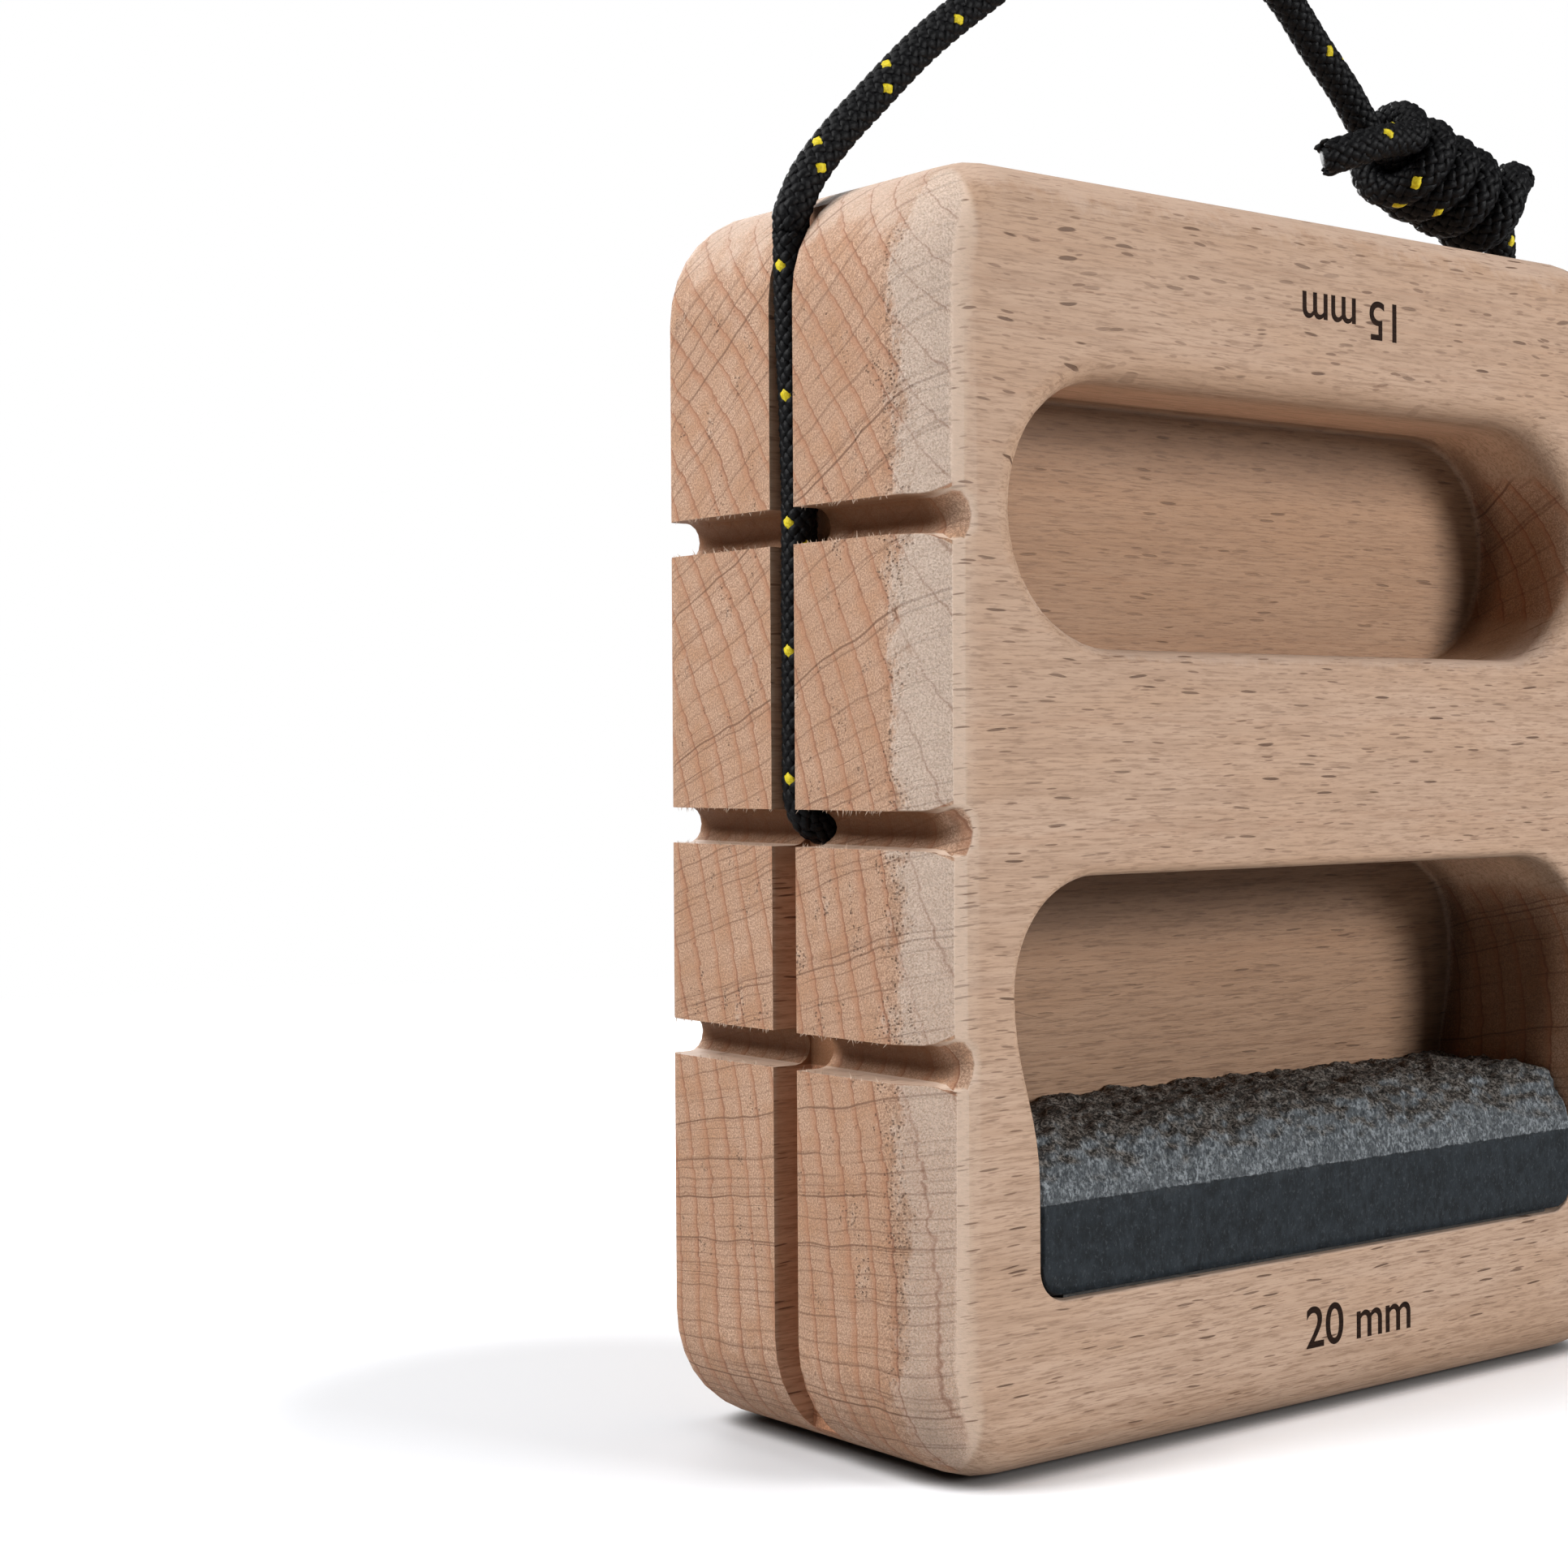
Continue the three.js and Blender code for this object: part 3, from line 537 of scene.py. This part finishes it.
def split_stone():
    """Dark slate-like stone: a sawn band at the foot, split and chipped above."""
    s = Shader("split_stone")
    z = s.split(s.at)[2]
    facing_up = s.split(s.facing)[2]
    wander = s.times(s.minus(s.grain(0.9, 0.9, 0.9, 3.0), 0.5), 0.5)
    rough_edge = STONE_FLOOR + STONE_BAND
    split = s.step(s.plus(z, wander), rough_edge - 0.15, rough_edge + 0.1)
    grit = s.grain(2.9, 2.9, 2.0, 4.0, 0.75)
    coarse = s.grain(0.5, 0.5, 0.5, 4.0, 0.6)
    grains = s.grain(1.2, 1.0, 0.8, 4.0, 0.75)
    scuffs = s.grain(1.4, 1.4, 0.7, 4.0, 0.75)
    sawn = s.mix(s.step(coarse, 0.35, 0.65), SAWN_DARK, SAWN_PALE)
    sawn = s.mix(s.step(scuffs, 0.44, 0.64, 0.0, 0.65), sawn, SAWN_SCUFF)
    sawn = s.mix(s.step(grit, 0.57, 0.63, 0.0, 0.35), sawn, SAWN_GRIT)
    rough = s.mix(s.step(grit, 0.38, 0.62), SPLIT_DARK, SPLIT_PALE)
    rough = s.mix(s.step(grains, 0.42, 0.6, 0.0, 0.75), rough, SPLIT_GRAINS)
    rough = s.mix(s.step(coarse, 0.42, 0.66, 0.0, 0.45), rough, SPLIT_PATCHES)
    brownish = s.mix(s.step(grit, 0.4, 0.62), TOP_DARK, TOP_PALE)
    brownish = s.mix(s.step(grains, 0.46, 0.58, 0.0, 0.75), brownish, TOP_GRAINS)
    rough = s.mix(s.step(facing_up, 0.3, 0.85), rough, brownish)
    height = s.times(grit, s.between(split, 0.12, 1.0))
    s.surface.inputs["Specular IOR Level"].default_value = 0.2
    return s.finish(s.mix(split, sawn, rough), s.between(split, 0.55, 0.8), height, 0.4)


def yarn(name, dark, light):
    """Nylon yarn of one strand: fine fibres with a soft sheen."""
    s = Shader(name)
    fibres = s.grain(3.0, 3.0, 3.0, 4.0, 0.7)
    s.surface.inputs["Specular IOR Level"].default_value = 0.13
    return s.finish(s.mix(s.step(fibres, 0.35, 0.7), dark, light), 0.45, fibres, 0.08)


def dark_glue():
    s = Shader("dark_glue")
    mottle = s.grain(1.5, 1.5, 1.5)
    return s.finish(s.mix(mottle, *GLUE), 0.5, mottle)


def scorched():
    """The burnt-in size marks: dark brown, uneven along the grain."""
    s = Shader("scorched")
    grain = s.step(s.grain(0.8, 6.0, 9.0, 3.0, 0.7), 0.3, 0.75)
    s.surface.inputs["Specular IOR Level"].default_value = 0.1
    return s.finish(s.mix(grain, *SCORCHED), 0.8)


def torn_wood():
    s = Shader("torn_wood")
    return s.finish(s.mix(s.grain(1.0, 3.0, 3.0), *TORN_WOOD), 0.8)


def placed_object(name, mesh, *materials):
    for material in materials:
        mesh.materials.append(material)
    made = bpy.data.objects.new(name, mesh)
    bpy.context.scene.collection.objects.link(made)
    return made


def mesh_object(name, points, faces, *materials, smooth=True):
    mesh = bpy.data.meshes.new(name)
    mesh.from_pydata([tuple(p) for p in points], [], [tuple(f) for f in faces])
    mesh.update()
    mesh.polygons.foreach_set("use_smooth", [smooth] * len(mesh.polygons))
    return placed_object(name, mesh, *materials)


def unit(vectors):
    return vectors / np.linalg.norm(vectors, axis=-1, keepdims=True)


def reached(line):
    """How far along a line each of its points is."""
    return np.concatenate([[0.0], np.cumsum(np.linalg.norm(np.diff(line, axis=0), axis=1))])


def length(line):
    return float(np.linalg.norm(np.diff(line, axis=0), axis=1).sum())


def tube_faces(rings, sides, base=0):
    """Four-cornered faces round a tube whose points come ring by ring, ordered the same way."""
    faces = []
    for ring in range(rings - 1):
        for i in range(sides):
            a, b = base + ring * sides + i, base + ring * sides + (i + 1) % sides
            faces.append((a, b, b + sides, a + sides))
    return faces


def end_faces(rings, sides, base=0):
    last = base + (rings - 1) * sides
    return [tuple(base + i for i in reversed(range(sides))), tuple(last + i for i in range(sides))]


# Cord


def evenly(points, step):
    """The same line with points a step apart."""
    points = np.asarray(points, float)
    lengths = reached(points)
    count = max(2, int(round(lengths[-1] / step)) + 1)
    at = np.linspace(0.0, lengths[-1], count)
    return np.stack([np.interp(at, lengths, points[:, i]) for i in range(3)], axis=1)


def smooth_route(route, step):
    """A centripetal Catmull-Rom line through the route's points, as the CAD model has."""
    p = np.asarray(route, float)
    p = np.vstack([2 * p[0] - p[1], p, 2 * p[-1] - p[-2]])
    out = []
    for a, b, c, d in zip(p[:-3], p[1:-2], p[2:-1], p[3:]):
        t = [0.0]
        for u, v in ((a, b), (b, c), (c, d)):
            t.append(t[-1] + math.sqrt(np.linalg.norm(v - u)))
        for at in np.linspace(t[1], t[2], 24, endpoint=False):
            ab = (t[1] - at) / (t[1] - t[0]) * a + (at - t[0]) / (t[1] - t[0]) * b
            bc = (t[2] - at) / (t[2] - t[1]) * b + (at - t[1]) / (t[2] - t[1]) * c
            cd = (t[3] - at) / (t[3] - t[2]) * c + (at - t[2]) / (t[3] - t[2]) * d
            abc = (t[2] - at) / (t[2] - t[0]) * ab + (at - t[0]) / (t[2] - t[0]) * bc
            bcd = (t[3] - at) / (t[3] - t[1]) * bc + (at - t[1]) / (t[3] - t[1]) * cd
            out.append((t[2] - at) / (t[2] - t[1]) * abc + (at - t[1]) / (t[2] - t[1]) * bcd)
    out.append(p[-2])
    return evenly(out, step)


def frames(line):
    """Two normals along a line, which turn no more than the line makes them."""
    tangents = unit(np.gradient(line, axis=0))
    normal = np.array([0.0, -1.0, 0.0])
    normals = []
    for t in tangents:
        normal = unit(normal - t * (normal @ t))
        normals.append(normal)
    normals = np.array(normals)
    return normals, np.cross(tangents, normals)


def braid(
    line,
    start=0.0,
    turned=0.0,
    diameter=CORD,
    ragged=(0.0, 0.0),
    flare=(0.0, 0.0),
    pressed=None,
    seed=1,
):
    """Points, faces and yarn numbers of a braided sleeve along a line.

    start is how far along the cord the line begins, so that runs of one cord carry on each other's pattern,
    and turned turns the pattern about the line. ragged and flare give each end's uneven cut and spread.
    pressed holds a direction for each point, and the share by which the cord is wider or narrower that way.
    """
    rng = np.random.default_rng(seed)
    normals, sides = frames(line)
    along = reached(line)
    s = along + start
    scale = diameter / 4.0
    spread = 1.0 + flare[0] * np.exp(-along / FLARE_REACH)
    spread += flare[1] * np.exp((along - along[-1]) / FLARE_REACH)
    over = np.cos(2 * math.pi * STRANDS * s / LAY_LENGTH)
    points, faces, yarns = [], [], []
    for way in (1, -1):
        for k in range(STRANDS):
            angle = way * 2 * math.pi * s / LAY_LENGTH + 2 * math.pi * k / STRANDS + turned
            out = np.cos(angle)[:, None] * normals + np.sin(angle)[:, None] * sides
            if pressed is not None:
                ways, shares = pressed
                out = out + ways * (np.einsum("ij,ij->i", out, ways) * shares)[:, None]
            centre = line + out * ((STRAND_MIDDLE + way * STRAND_LIFT * over) * scale * spread)[:, None]
            keep = (along >= rng.random() * ragged[0]) & (along <= along[-1] - rng.random() * ragged[1])
            centre, radial = centre[keep], unit(out[keep])
            run = unit(np.gradient(centre, axis=0))
            across = unit(np.cross(run, radial))
            lifted = np.cross(across, run)
            base, rings = len(points), []
            for i in range(STRAND_SIDES):
                turn = 2 * math.pi * i / STRAND_SIDES
                wide, thick = STRAND_HALF_WIDTH * math.cos(turn), STRAND_HALF_THICKNESS * math.sin(turn)
                rings.append(centre + across * (wide * scale) + lifted * (thick * scale))
            points.extend(np.stack(rings, axis=1).reshape(-1, 3))
            cells = np.round((s[keep] / LAY_LENGTH - (0.0 if way > 0 else 0.5 / STRANDS)) * STRANDS)
            traced = (k == 0) & (np.mod(cells, STRANDS) == (0 if way > 0 else 1))
            faces.extend(tube_faces(len(centre), STRAND_SIDES, base))
            yarns.extend(np.repeat(traced[:-1].astype(int), STRAND_SIDES).tolist())
            faces.extend(end_faces(len(centre), STRAND_SIDES, base))
            yarns.extend([0, 0])
    return np.array(points), faces, yarns


def filling(line):
    """The cord's core, seen only between strands and at its ends."""
    normals, sides = frames(line)
    angles = [2 * math.pi * i / CORE_SIDES for i in range(CORE_SIDES)]
    points = [line + CORE_RADIUS * (math.cos(angle) * normals + math.sin(angle) * sides) for angle in angles]
    points = np.stack(points, axis=1).reshape(-1, 3)
    return points, tube_faces(len(line), CORE_SIDES) + end_faces(len(line), CORE_SIDES)


def cord_piece(name, line, materials, **braid_settings):
    points, faces, yarns = braid(line, **braid_settings)
    core_points, core_faces = filling(evenly(line, CORE_STEP)[1:-1])
    base = len(points)
    faces.extend(tuple(base + i for i in face) for face in core_faces)
    yarns.extend([0] * len(core_faces))
    made = mesh_object(name, np.vstack([points, core_points]) * MM, faces, *materials)
    made.data.polygons.foreach_set("material_index", yarns)
    return made


def knot_core(count):
    t = np.linspace(0, 1, count)[:, None]
    start, bend, end = (np.array(p, float) for p in (KNOT_START, KNOT_BEND, KNOT_END))
    return (1 - t) ** 2 * start + 2 * t * (1 - t) * bend + t * t * end


def laid_winding(span):
    """The knot's winding unrolled from the loop, which is span long there: for each point how far it is along
    the loop, round it and out from it, and how far it is within the turns."""
    steep = math.pi / 2 - math.atan(TURN_PITCH / (2 * math.pi * TURN_RADIUS))
    first = (span - TURN_PITCH * TURNS) / 2 + KNOT_SHIFT
    laid = []

    def bend(lean, turned):
        reach = TAIL_BEND * (math.sin(lean + turned) - math.sin(lean))
        return reach, TAIL_BEND * (math.cos(lean) - math.cos(lean + turned))

    def spread(away):
        return TAIL_SPREAD * away * away / (away + CORD)

    left, right = steep - LEFT_LEAN, steep - RIGHT_LEAN
    reach, rise = bend(LEFT_LEAN, left)
    for away in np.linspace(LEFT_TAIL, 0, 40, endpoint=False):
        along, around = away * math.cos(LEFT_LEAN), away * math.sin(LEFT_LEAN)
        laid.append((first - reach - along, -around, spread(away), 0.0))
    for turned in np.linspace(0, left, 20, endpoint=False):
        along, around = bend(LEFT_LEAN, turned)
        laid.append((first - reach + along, around, 0.0, turned / left))
    wound = TURNS * 2 * math.pi * TURN_RADIUS
    for share in np.linspace(0, 1, 400):
        laid.append((first + share * TURNS * TURN_PITCH, rise + share * wound, 0.0, 1.0))
    end_along, end_around = first + TURNS * TURN_PITCH, rise + wound
    reach, rise = bend(RIGHT_LEAN, right)
    for turned in np.linspace(right, 0, 20)[1:]:
        along, around = bend(RIGHT_LEAN, turned)
        laid.append((end_along + reach - along, end_around + rise - around, 0.0, turned / right))
    for away in np.linspace(0, RIGHT_TAIL, 20)[1:]:
        along, around = away * math.cos(RIGHT_LEAN), away * math.sin(RIGHT_LEAN)
        laid.append((end_along + reach + along, end_around + rise + around, spread(away), 0.0))
    return laid


def knot_line(step):
    """The knot's winding, as the CAD model has it, with turns that sway a little. Also the loop's own
    direction beside each point, and how far each is within the turns."""
    core = knot_core(200)
    lengths = reached(core)
    tangents = unit(np.gradient(core, axis=0))
    front = np.array([0.0, -1.0, 0.0])
    line, both = [], []
    for along, around, out, share in laid_winding(lengths[-1]):
        at = min(max(along, 0.0), lengths[-1])
        place, axis = (
            np.array([np.interp(at, lengths, values[:, i]) for i in range(3)]) for values in (core, tangents)
        )
        down = unit(np.cross(axis, front))
        angle = FIRST_ANGLE + around / TURN_RADIUS
        sway = share * (0.16 * math.sin(2.3 * angle) + 0.1 * math.sin(1.1 * angle + 1.0))
        lean = share * 0.35 * math.sin(0.8 * angle + 0.6)
        away = (TURN_RADIUS + out + sway) * (down * math.cos(angle) + front * math.sin(angle))
        line.append(place + axis * (along - at + lean) + away)
        both.append((*axis, share))
    line, both = np.array(line), np.array(both)
    even = evenly(line, step)
    at = np.linspace(0, reached(line)[-1], len(even))
    both = np.stack([np.interp(at, reached(line), both[:, i]) for i in range(4)], axis=1)
    return even, both[:, :3], both[:, 3]


def groove_line():
    """Down the left groove, which the cord sinks into, and round into the bore."""
    heights = np.linspace(PIVOT_HEIGHT - 2.2, BORE_HEIGHT + BEND, 60)
    sunk = np.interp(heights, *zip(*reversed(SUNK)))
    down = [(depth - LENGTH / 2, 0, z) for z, depth in zip(heights, sunk)]
    x = down[-1][0]
    a, b = np.array([x, 0, BORE_HEIGHT + BEND]), np.array([x, 0, BORE_HEIGHT])
    c, d = (np.array([x + reach, -BORE_FORWARD, BORE_HEIGHT]) for reach in (BEND / 2, BEND))
    curve = []
    for t in np.linspace(0, 1, 20)[1:]:
        u = 1 - t
        curve.append(u**3 * a + 3 * u * u * t * b + 3 * u * t * t * c + t**3 * d)
    run_in = [(x + BEND + reach, -BORE_FORWARD, BORE_HEIGHT) for reach in np.linspace(0.5, 5, 8)]
    return evenly(down + curve + run_in, CORD_STEP)


def squeezed(line):
    """The grooves press the cord narrower across them, up to where it leaves them."""
    shares = np.interp(line[:, 2], (PIVOT_HEIGHT - 4.0, PIVOT_HEIGHT + 3.0), (-0.14, 0.0))
    return np.tile([0.0, 1.0, 0.0], (len(line), 1)), shares


def make_cord():
    black, yellow = yarn("black_yarn", *BLACK_YARN), yarn("yellow_yarn", *YELLOW_YARN)
    left = groove_line()[::-1]
    loop = smooth_route(ROUTE_LEFT + [tuple(p) for p in knot_core(6)] + ROUTE_RIGHT, CORD_STEP)
    join_left = np.linspace(left[-1], loop[0], 9)[1:-1]
    right = groove_line() * np.array([-1, 1, 1])
    join_right = np.linspace(loop[-1], right[0], 9)[1:-1]
    free = evenly(np.vstack([join_left, loop, join_right]), CORD_STEP)

    pieces = []
    at = PATTERN_START
    for name, line in (("cord_left", left), ("cord_free", free), ("cord_right", right)):
        pieces.append(cord_piece(name, line, (black, yellow), start=at, pressed=squeezed(line)))
        at += length(line)
    cord_left, cord_free, cord_right = pieces
    for piece in (cord_left, cord_right):
        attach(piece, "block")
    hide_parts("cord_left_run", "cord_bore_run")
    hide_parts("cord_right_run")
    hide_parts("cord_loop")
    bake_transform(cord_free)
    winding, axes, within = knot_line(CORD_STEP)
    knot = cord_piece(
        "knot",
        winding,
        (black, yellow),
        start=4.4,
        turned=-0.42,
        diameter=4.25,
        ragged=(1.5, 2.6),
        flare=(0.15, 0.55),
        pressed=(axes, 0.14 * within),
        seed=4,
    )
    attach(knot, "loop")
    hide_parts("cord_knot")
    print(f"free cord {length(free):.0f} mm, winding {length(winding):.0f} mm")


# Stone


def stone_outline():
    """The stone bar's outline across it, from its back foot round the front: y, z and how rough it is."""
    smooth_top = STONE_FLOOR + STONE_BAND
    back = FRONT + STONE_DEPTH
    outline = [(y, STONE_FLOOR, 0.0) for y in np.arange(back, FRONT + 0.01, -2.0)]
    outline += [(FRONT, z, 0.0) for z in np.arange(STONE_FLOOR + 0.5, smooth_top, 0.8)]
    for a in np.linspace(0, math.pi / 2, 34):
        y, z = FRONT + STONE_ROUND * (1 - math.cos(a)), smooth_top + (STONE_TOP - smooth_top) * math.sin(a)
        outline.append((y, z, min(1.0, 0.15 + a)))
    outline += [(y, STONE_TOP, 1.0) for y in np.arange(FRONT + STONE_ROUND + STONE_STEP, back, STONE_STEP)]
    outline.append((back, STONE_TOP, 0.6))
    outline += [(back, z, 0.0) for z in np.arange(STONE_TOP - 2.0, STONE_FLOOR + 0.5, -2.0)]
    return np.array(outline)


def chipped(x, y, z, rough):
    """A point of the stone, moved out or in by its chips."""
    at = Vector((x, y, z))
    chips = noise.noise(at * 0.22) * 0.9 + noise.noise(at * 0.6 + Vector((9, 3, 1))) * 0.55
    chips += (noise.voronoi(at * 0.75)[0][0] - 0.35) * 0.75
    chips += noise.noise(at * 2.1) * 0.2
    middle = np.array([FRONT + STONE_DEPTH * 0.55, STONE_FLOOR + 7.0])
    y, z = np.array([y, z]) + unit(np.array([y, z]) - middle) * (chips - 0.35) * rough
    return max(y, FRONT), min(z, STONE_TOP + 0.6)


def make_stone():
    """The stone bar's outline swept along it, fine enough for its chips."""
    outline = stone_outline()
    xs = np.arange(-STONE_HALF, STONE_HALF + 0.01, STONE_STEP)
    points = []
    for x in xs:
        short = STONE_END_ROUND - min(STONE_END_ROUND, STONE_HALF - abs(x))
        lifted = STONE_END_ROUND - math.sqrt(max(0.0, STONE_END_ROUND**2 - short**2))
        for y, z, rough in outline:
            z += lifted * max(0.0, 1 - (z - STONE_FLOOR) / STONE_END_ROUND)
            if rough > 0:
                y, z = chipped(x, y, z, rough)
            points.append((x, y, z))
    count = len(outline)
    faces = [(a, d, c, b) for a, b, c, d in tube_faces(len(xs), count)]
    faces += [tuple(reversed(face)) for face in end_faces(len(xs), count)]
    made = mesh_object("stone", np.array(points) * MM, faces, split_stone())
    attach(made, "block")
    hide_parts("stone_insert")


def make_adhesive(frame):
    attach(frame["nodes"]["stone_adhesive"], "block")
    frame["nodes"]["stone_adhesive"].data.materials.clear()
    frame["nodes"]["stone_adhesive"].data.materials.append(dark_glue())


# Wood


def make_block(source):
    """The CAD block with its vertices joined, shaded smooth over its rounded edges."""
    mesh = source.data.copy()
    mesh.name = "block"
    mesh.materials.clear()
    block = placed_object("block", mesh, Beech().made())
    bpy.context.view_layer.objects.active = block
    block.select_set(True)
    bpy.ops.mesh.customdata_custom_splitnormals_clear()
    weld = block.modifiers.new("weld", "WELD")
    weld.merge_threshold = 2e-6
    bpy.ops.object.modifier_apply(modifier="weld")
    bpy.ops.object.shade_smooth_by_angle(angle=math.radians(28))
    weighted = block.modifiers.new("weighted", "WEIGHTED_NORMAL")
    weighted.keep_sharp = True
    bpy.ops.object.modifier_apply(modifier="weighted")
    block.select_set(False)
    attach(block, "block")
    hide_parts("wood_block")


def make_fibres():
    """Torn wood fibres that stand off the notches' edges, as the cutter left them."""
    rng = np.random.default_rng(7)
    points, faces = [], []
    edges = [(side, notch, into) for side in (-1, 1) for notch in NOTCH_HEIGHTS for into in (-1, 1)]
    for side, notch, into in edges:
        for _ in range(FIBRES_PER_EDGE):
            y = rng.uniform(FRONT + 5.0, -FRONT - 3.0)
            if abs(y) < GROOVE_WIDTH / 2 + 0.1:
                continue
            x, z = side * (LENGTH / 2 - rng.uniform(0.0, 0.3)), notch + into * (NOTCH_WIDTH / 2 + 0.05)
            root = np.array([x, y, z])
            out, along, across = rng.uniform(-0.2, 0.5), rng.uniform(-0.6, 0.6), rng.uniform(0.4, 1.0)
            tip = root + np.array([side * out, along, -into * across]) * rng.uniform(0.3, 0.85)
            half = rng.uniform(0.05, 0.11)
            base = len(points)
            points += [root + (0, -half, 0), root + (0, half, 0), root + (side * half, 0, into * half), tip]
            corners = ((0, 1, 3), (1, 2, 3), (2, 0, 3), (0, 2, 1))
            faces += [tuple(base + corner for corner in face) for face in corners]
    made = mesh_object("torn_fibres", np.array(points) * MM, faces, torn_wood(), smooth=False)
    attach(made, "block")


def size_mark(name, words, left, right, height, turned):
    """A burnt-in size mark: letters that lie on the front face."""
    curve = bpy.data.curves.new(name, "FONT")
    curve.body = words
    curve.extrude = MARK_HALF_THICKNESS * MM
    curve.size = MARK_SIZE * MM
    curve.offset = MARK_BOLDER * MM
    text = bpy.data.objects.new(name, curve)
    bpy.context.scene.collection.objects.link(text)
    bpy.context.view_layer.update()
    mesh = bpy.data.meshes.new_from_object(text.evaluated_get(bpy.context.evaluated_depsgraph_get()))
    bpy.data.objects.remove(text)
    co = np.array([v.co for v in mesh.vertices])
    low, high = co.min(0), co.max(0)
    scale = (right - left) * MM / (high[0] - low[0])
    co = (co - (low + high) / 2) * [scale, scale, 1]
    sign = -1 if turned else 1
    x, y, z = (left + right) / 2 * MM, (FRONT - MARK_PROUD) * MM, height * MM
    placed = np.stack([x + sign * co[:, 0], y - co[:, 2], z + sign * co[:, 1]], axis=1)
    mesh.vertices.foreach_set("co", placed.ravel())
    mesh.materials.clear()
    made = placed_object(name, mesh, scorched())
    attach(made, "block")


# Stage


def make_camera():
    yaw, pitch, roll = (math.radians(angle) for angle in (CAMERA_YAW, CAMERA_PITCH, CAMERA_ROLL))
    ahead = Vector((math.sin(yaw) * math.cos(pitch), math.cos(yaw) * math.cos(pitch), math.sin(pitch)))
    level = Vector((math.cos(yaw), -math.sin(yaw), 0))
    up = level.cross(ahead)
    right = math.cos(roll) * level + math.sin(roll) * up
    up = -math.sin(roll) * level + math.cos(roll) * up
    data = bpy.data.cameras.new("camera")
    data.sensor_width = SENSOR
    data.lens = FOCAL_PIXELS / PHOTO_WIDTH * SENSOR
    data.clip_start, data.clip_end = 0.01, 20
    camera = bpy.data.objects.new("camera", data)
    bpy.context.scene.collection.objects.link(camera)
    turn = Matrix((right, up, -ahead)).transposed().to_4x4()
    camera.matrix_world = Matrix.Translation(Vector(CAMERA_PLACE) * MM) @ turn
    bpy.context.scene.camera = camera


def make_floor():
    """A pale floor that keeps the block's shadow, with a painted contact shadow beside the block and a
    painted shadow behind its left end.
    """
    s = Shader("floor")
    path = s.node("ShaderNodeLightPath")
    # Painted contact shadow: the floor darkens where the block is close by.
    near = s.node("ShaderNodeAmbientOcclusion", samples=12)
    near.inputs["Distance"].default_value = CONTACT_REACH * MM
    # Painted shadow: the floor is darker round a place behind the block's left end.
    from_shade = s.distance(s.vector_math("SUBTRACT", s.at, SHADE_MIDDLE).outputs[0])
    beside = s.mix(s.step(from_shade, SHADE_FROM, SHADE_TO), FLOOR_PAINTED_SHADOW, FLOOR_PALE)
    contact = s.mix(s.step(near.outputs["AO"], 0.1, 0.7), CONTACT_SHADOW_COLOUR, beside)
    diffuse = s.node("ShaderNodeBsdfDiffuse")
    s.feed(diffuse.inputs["Color"], s.mix(path.outputs["Is Camera Ray"], FLOOR_BOUNCE, contact))
    white = s.node("ShaderNodeEmission")
    far = s.step(s.distance(s.at), WHITE_FROM, WHITE_TO)
    both = s.node("ShaderNodeMixShader")
    s.feed(both.inputs[0], s.times(far, path.outputs["Is Camera Ray"]))
    s.tree.links.new(diffuse.outputs[0], both.inputs[1])
    s.tree.links.new(white.outputs[0], both.inputs[2])
    s.tree.links.new(both.outputs[0], s.tree.nodes["Material Output"].inputs["Surface"])
    corners = [(x * FLOOR_HALF, y * FLOOR_HALF, 0) for x, y in ((-1, -1), (1, -1), (1, 1), (-1, 1))]
    floor = mesh_object("floor", corners, [(0, 1, 2, 3)], s.material, smooth=False)
    floor.location.z = -FLOOR_DROP


def make_world():
    world = bpy.data.worlds.new("world")
    world.use_nodes = True
    bpy.context.scene.world = world
    tree = world.node_tree
    light_path = tree.nodes.new("ShaderNodeLightPath")
    strength = tree.nodes.new("ShaderNodeMapRange")
    tree.links.new(light_path.outputs["Is Camera Ray"], strength.inputs["Value"])
    strength.inputs["To Min"].default_value = WORLD_LIGHT
    strength.inputs["To Max"].default_value = WORLD_SEEN
    background = tree.nodes["Background"]
    background.inputs["Color"].default_value = (1, 1, 1, 1)
    tree.links.new(strength.outputs[0], background.inputs["Strength"])


def make_lamps():
    for name, (place, size, power) in LAMPS.items():
        data = bpy.data.lights.new(name, "AREA")
        data.shape = "RECTANGLE"
        data.size = data.size_y = size
        data.energy = power
        light = bpy.data.objects.new(name, data)
        light.location = place
        light.rotation_mode = "QUATERNION"
        light.rotation_quaternion = (Vector(LAMPS_AIM) - Vector(place)).to_track_quat("-Z", "Y")
        bpy.context.scene.collection.objects.link(light)


def main():
    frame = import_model()
    bpy.context.scene.view_settings.view_transform = "Standard"
    make_camera()
    make_floor()
    make_world()
    make_lamps()
    make_cord()
    make_block(frame["nodes"]["wood_block"])
    make_fibres()
    make_stone()
    make_adhesive(frame)
    size_mark("mark_15", "15 mm", -4.1, 12.0, 123.3, True)
    size_mark("mark_20", "20 mm", -4.2, 13.8, 10.2, False)


main()
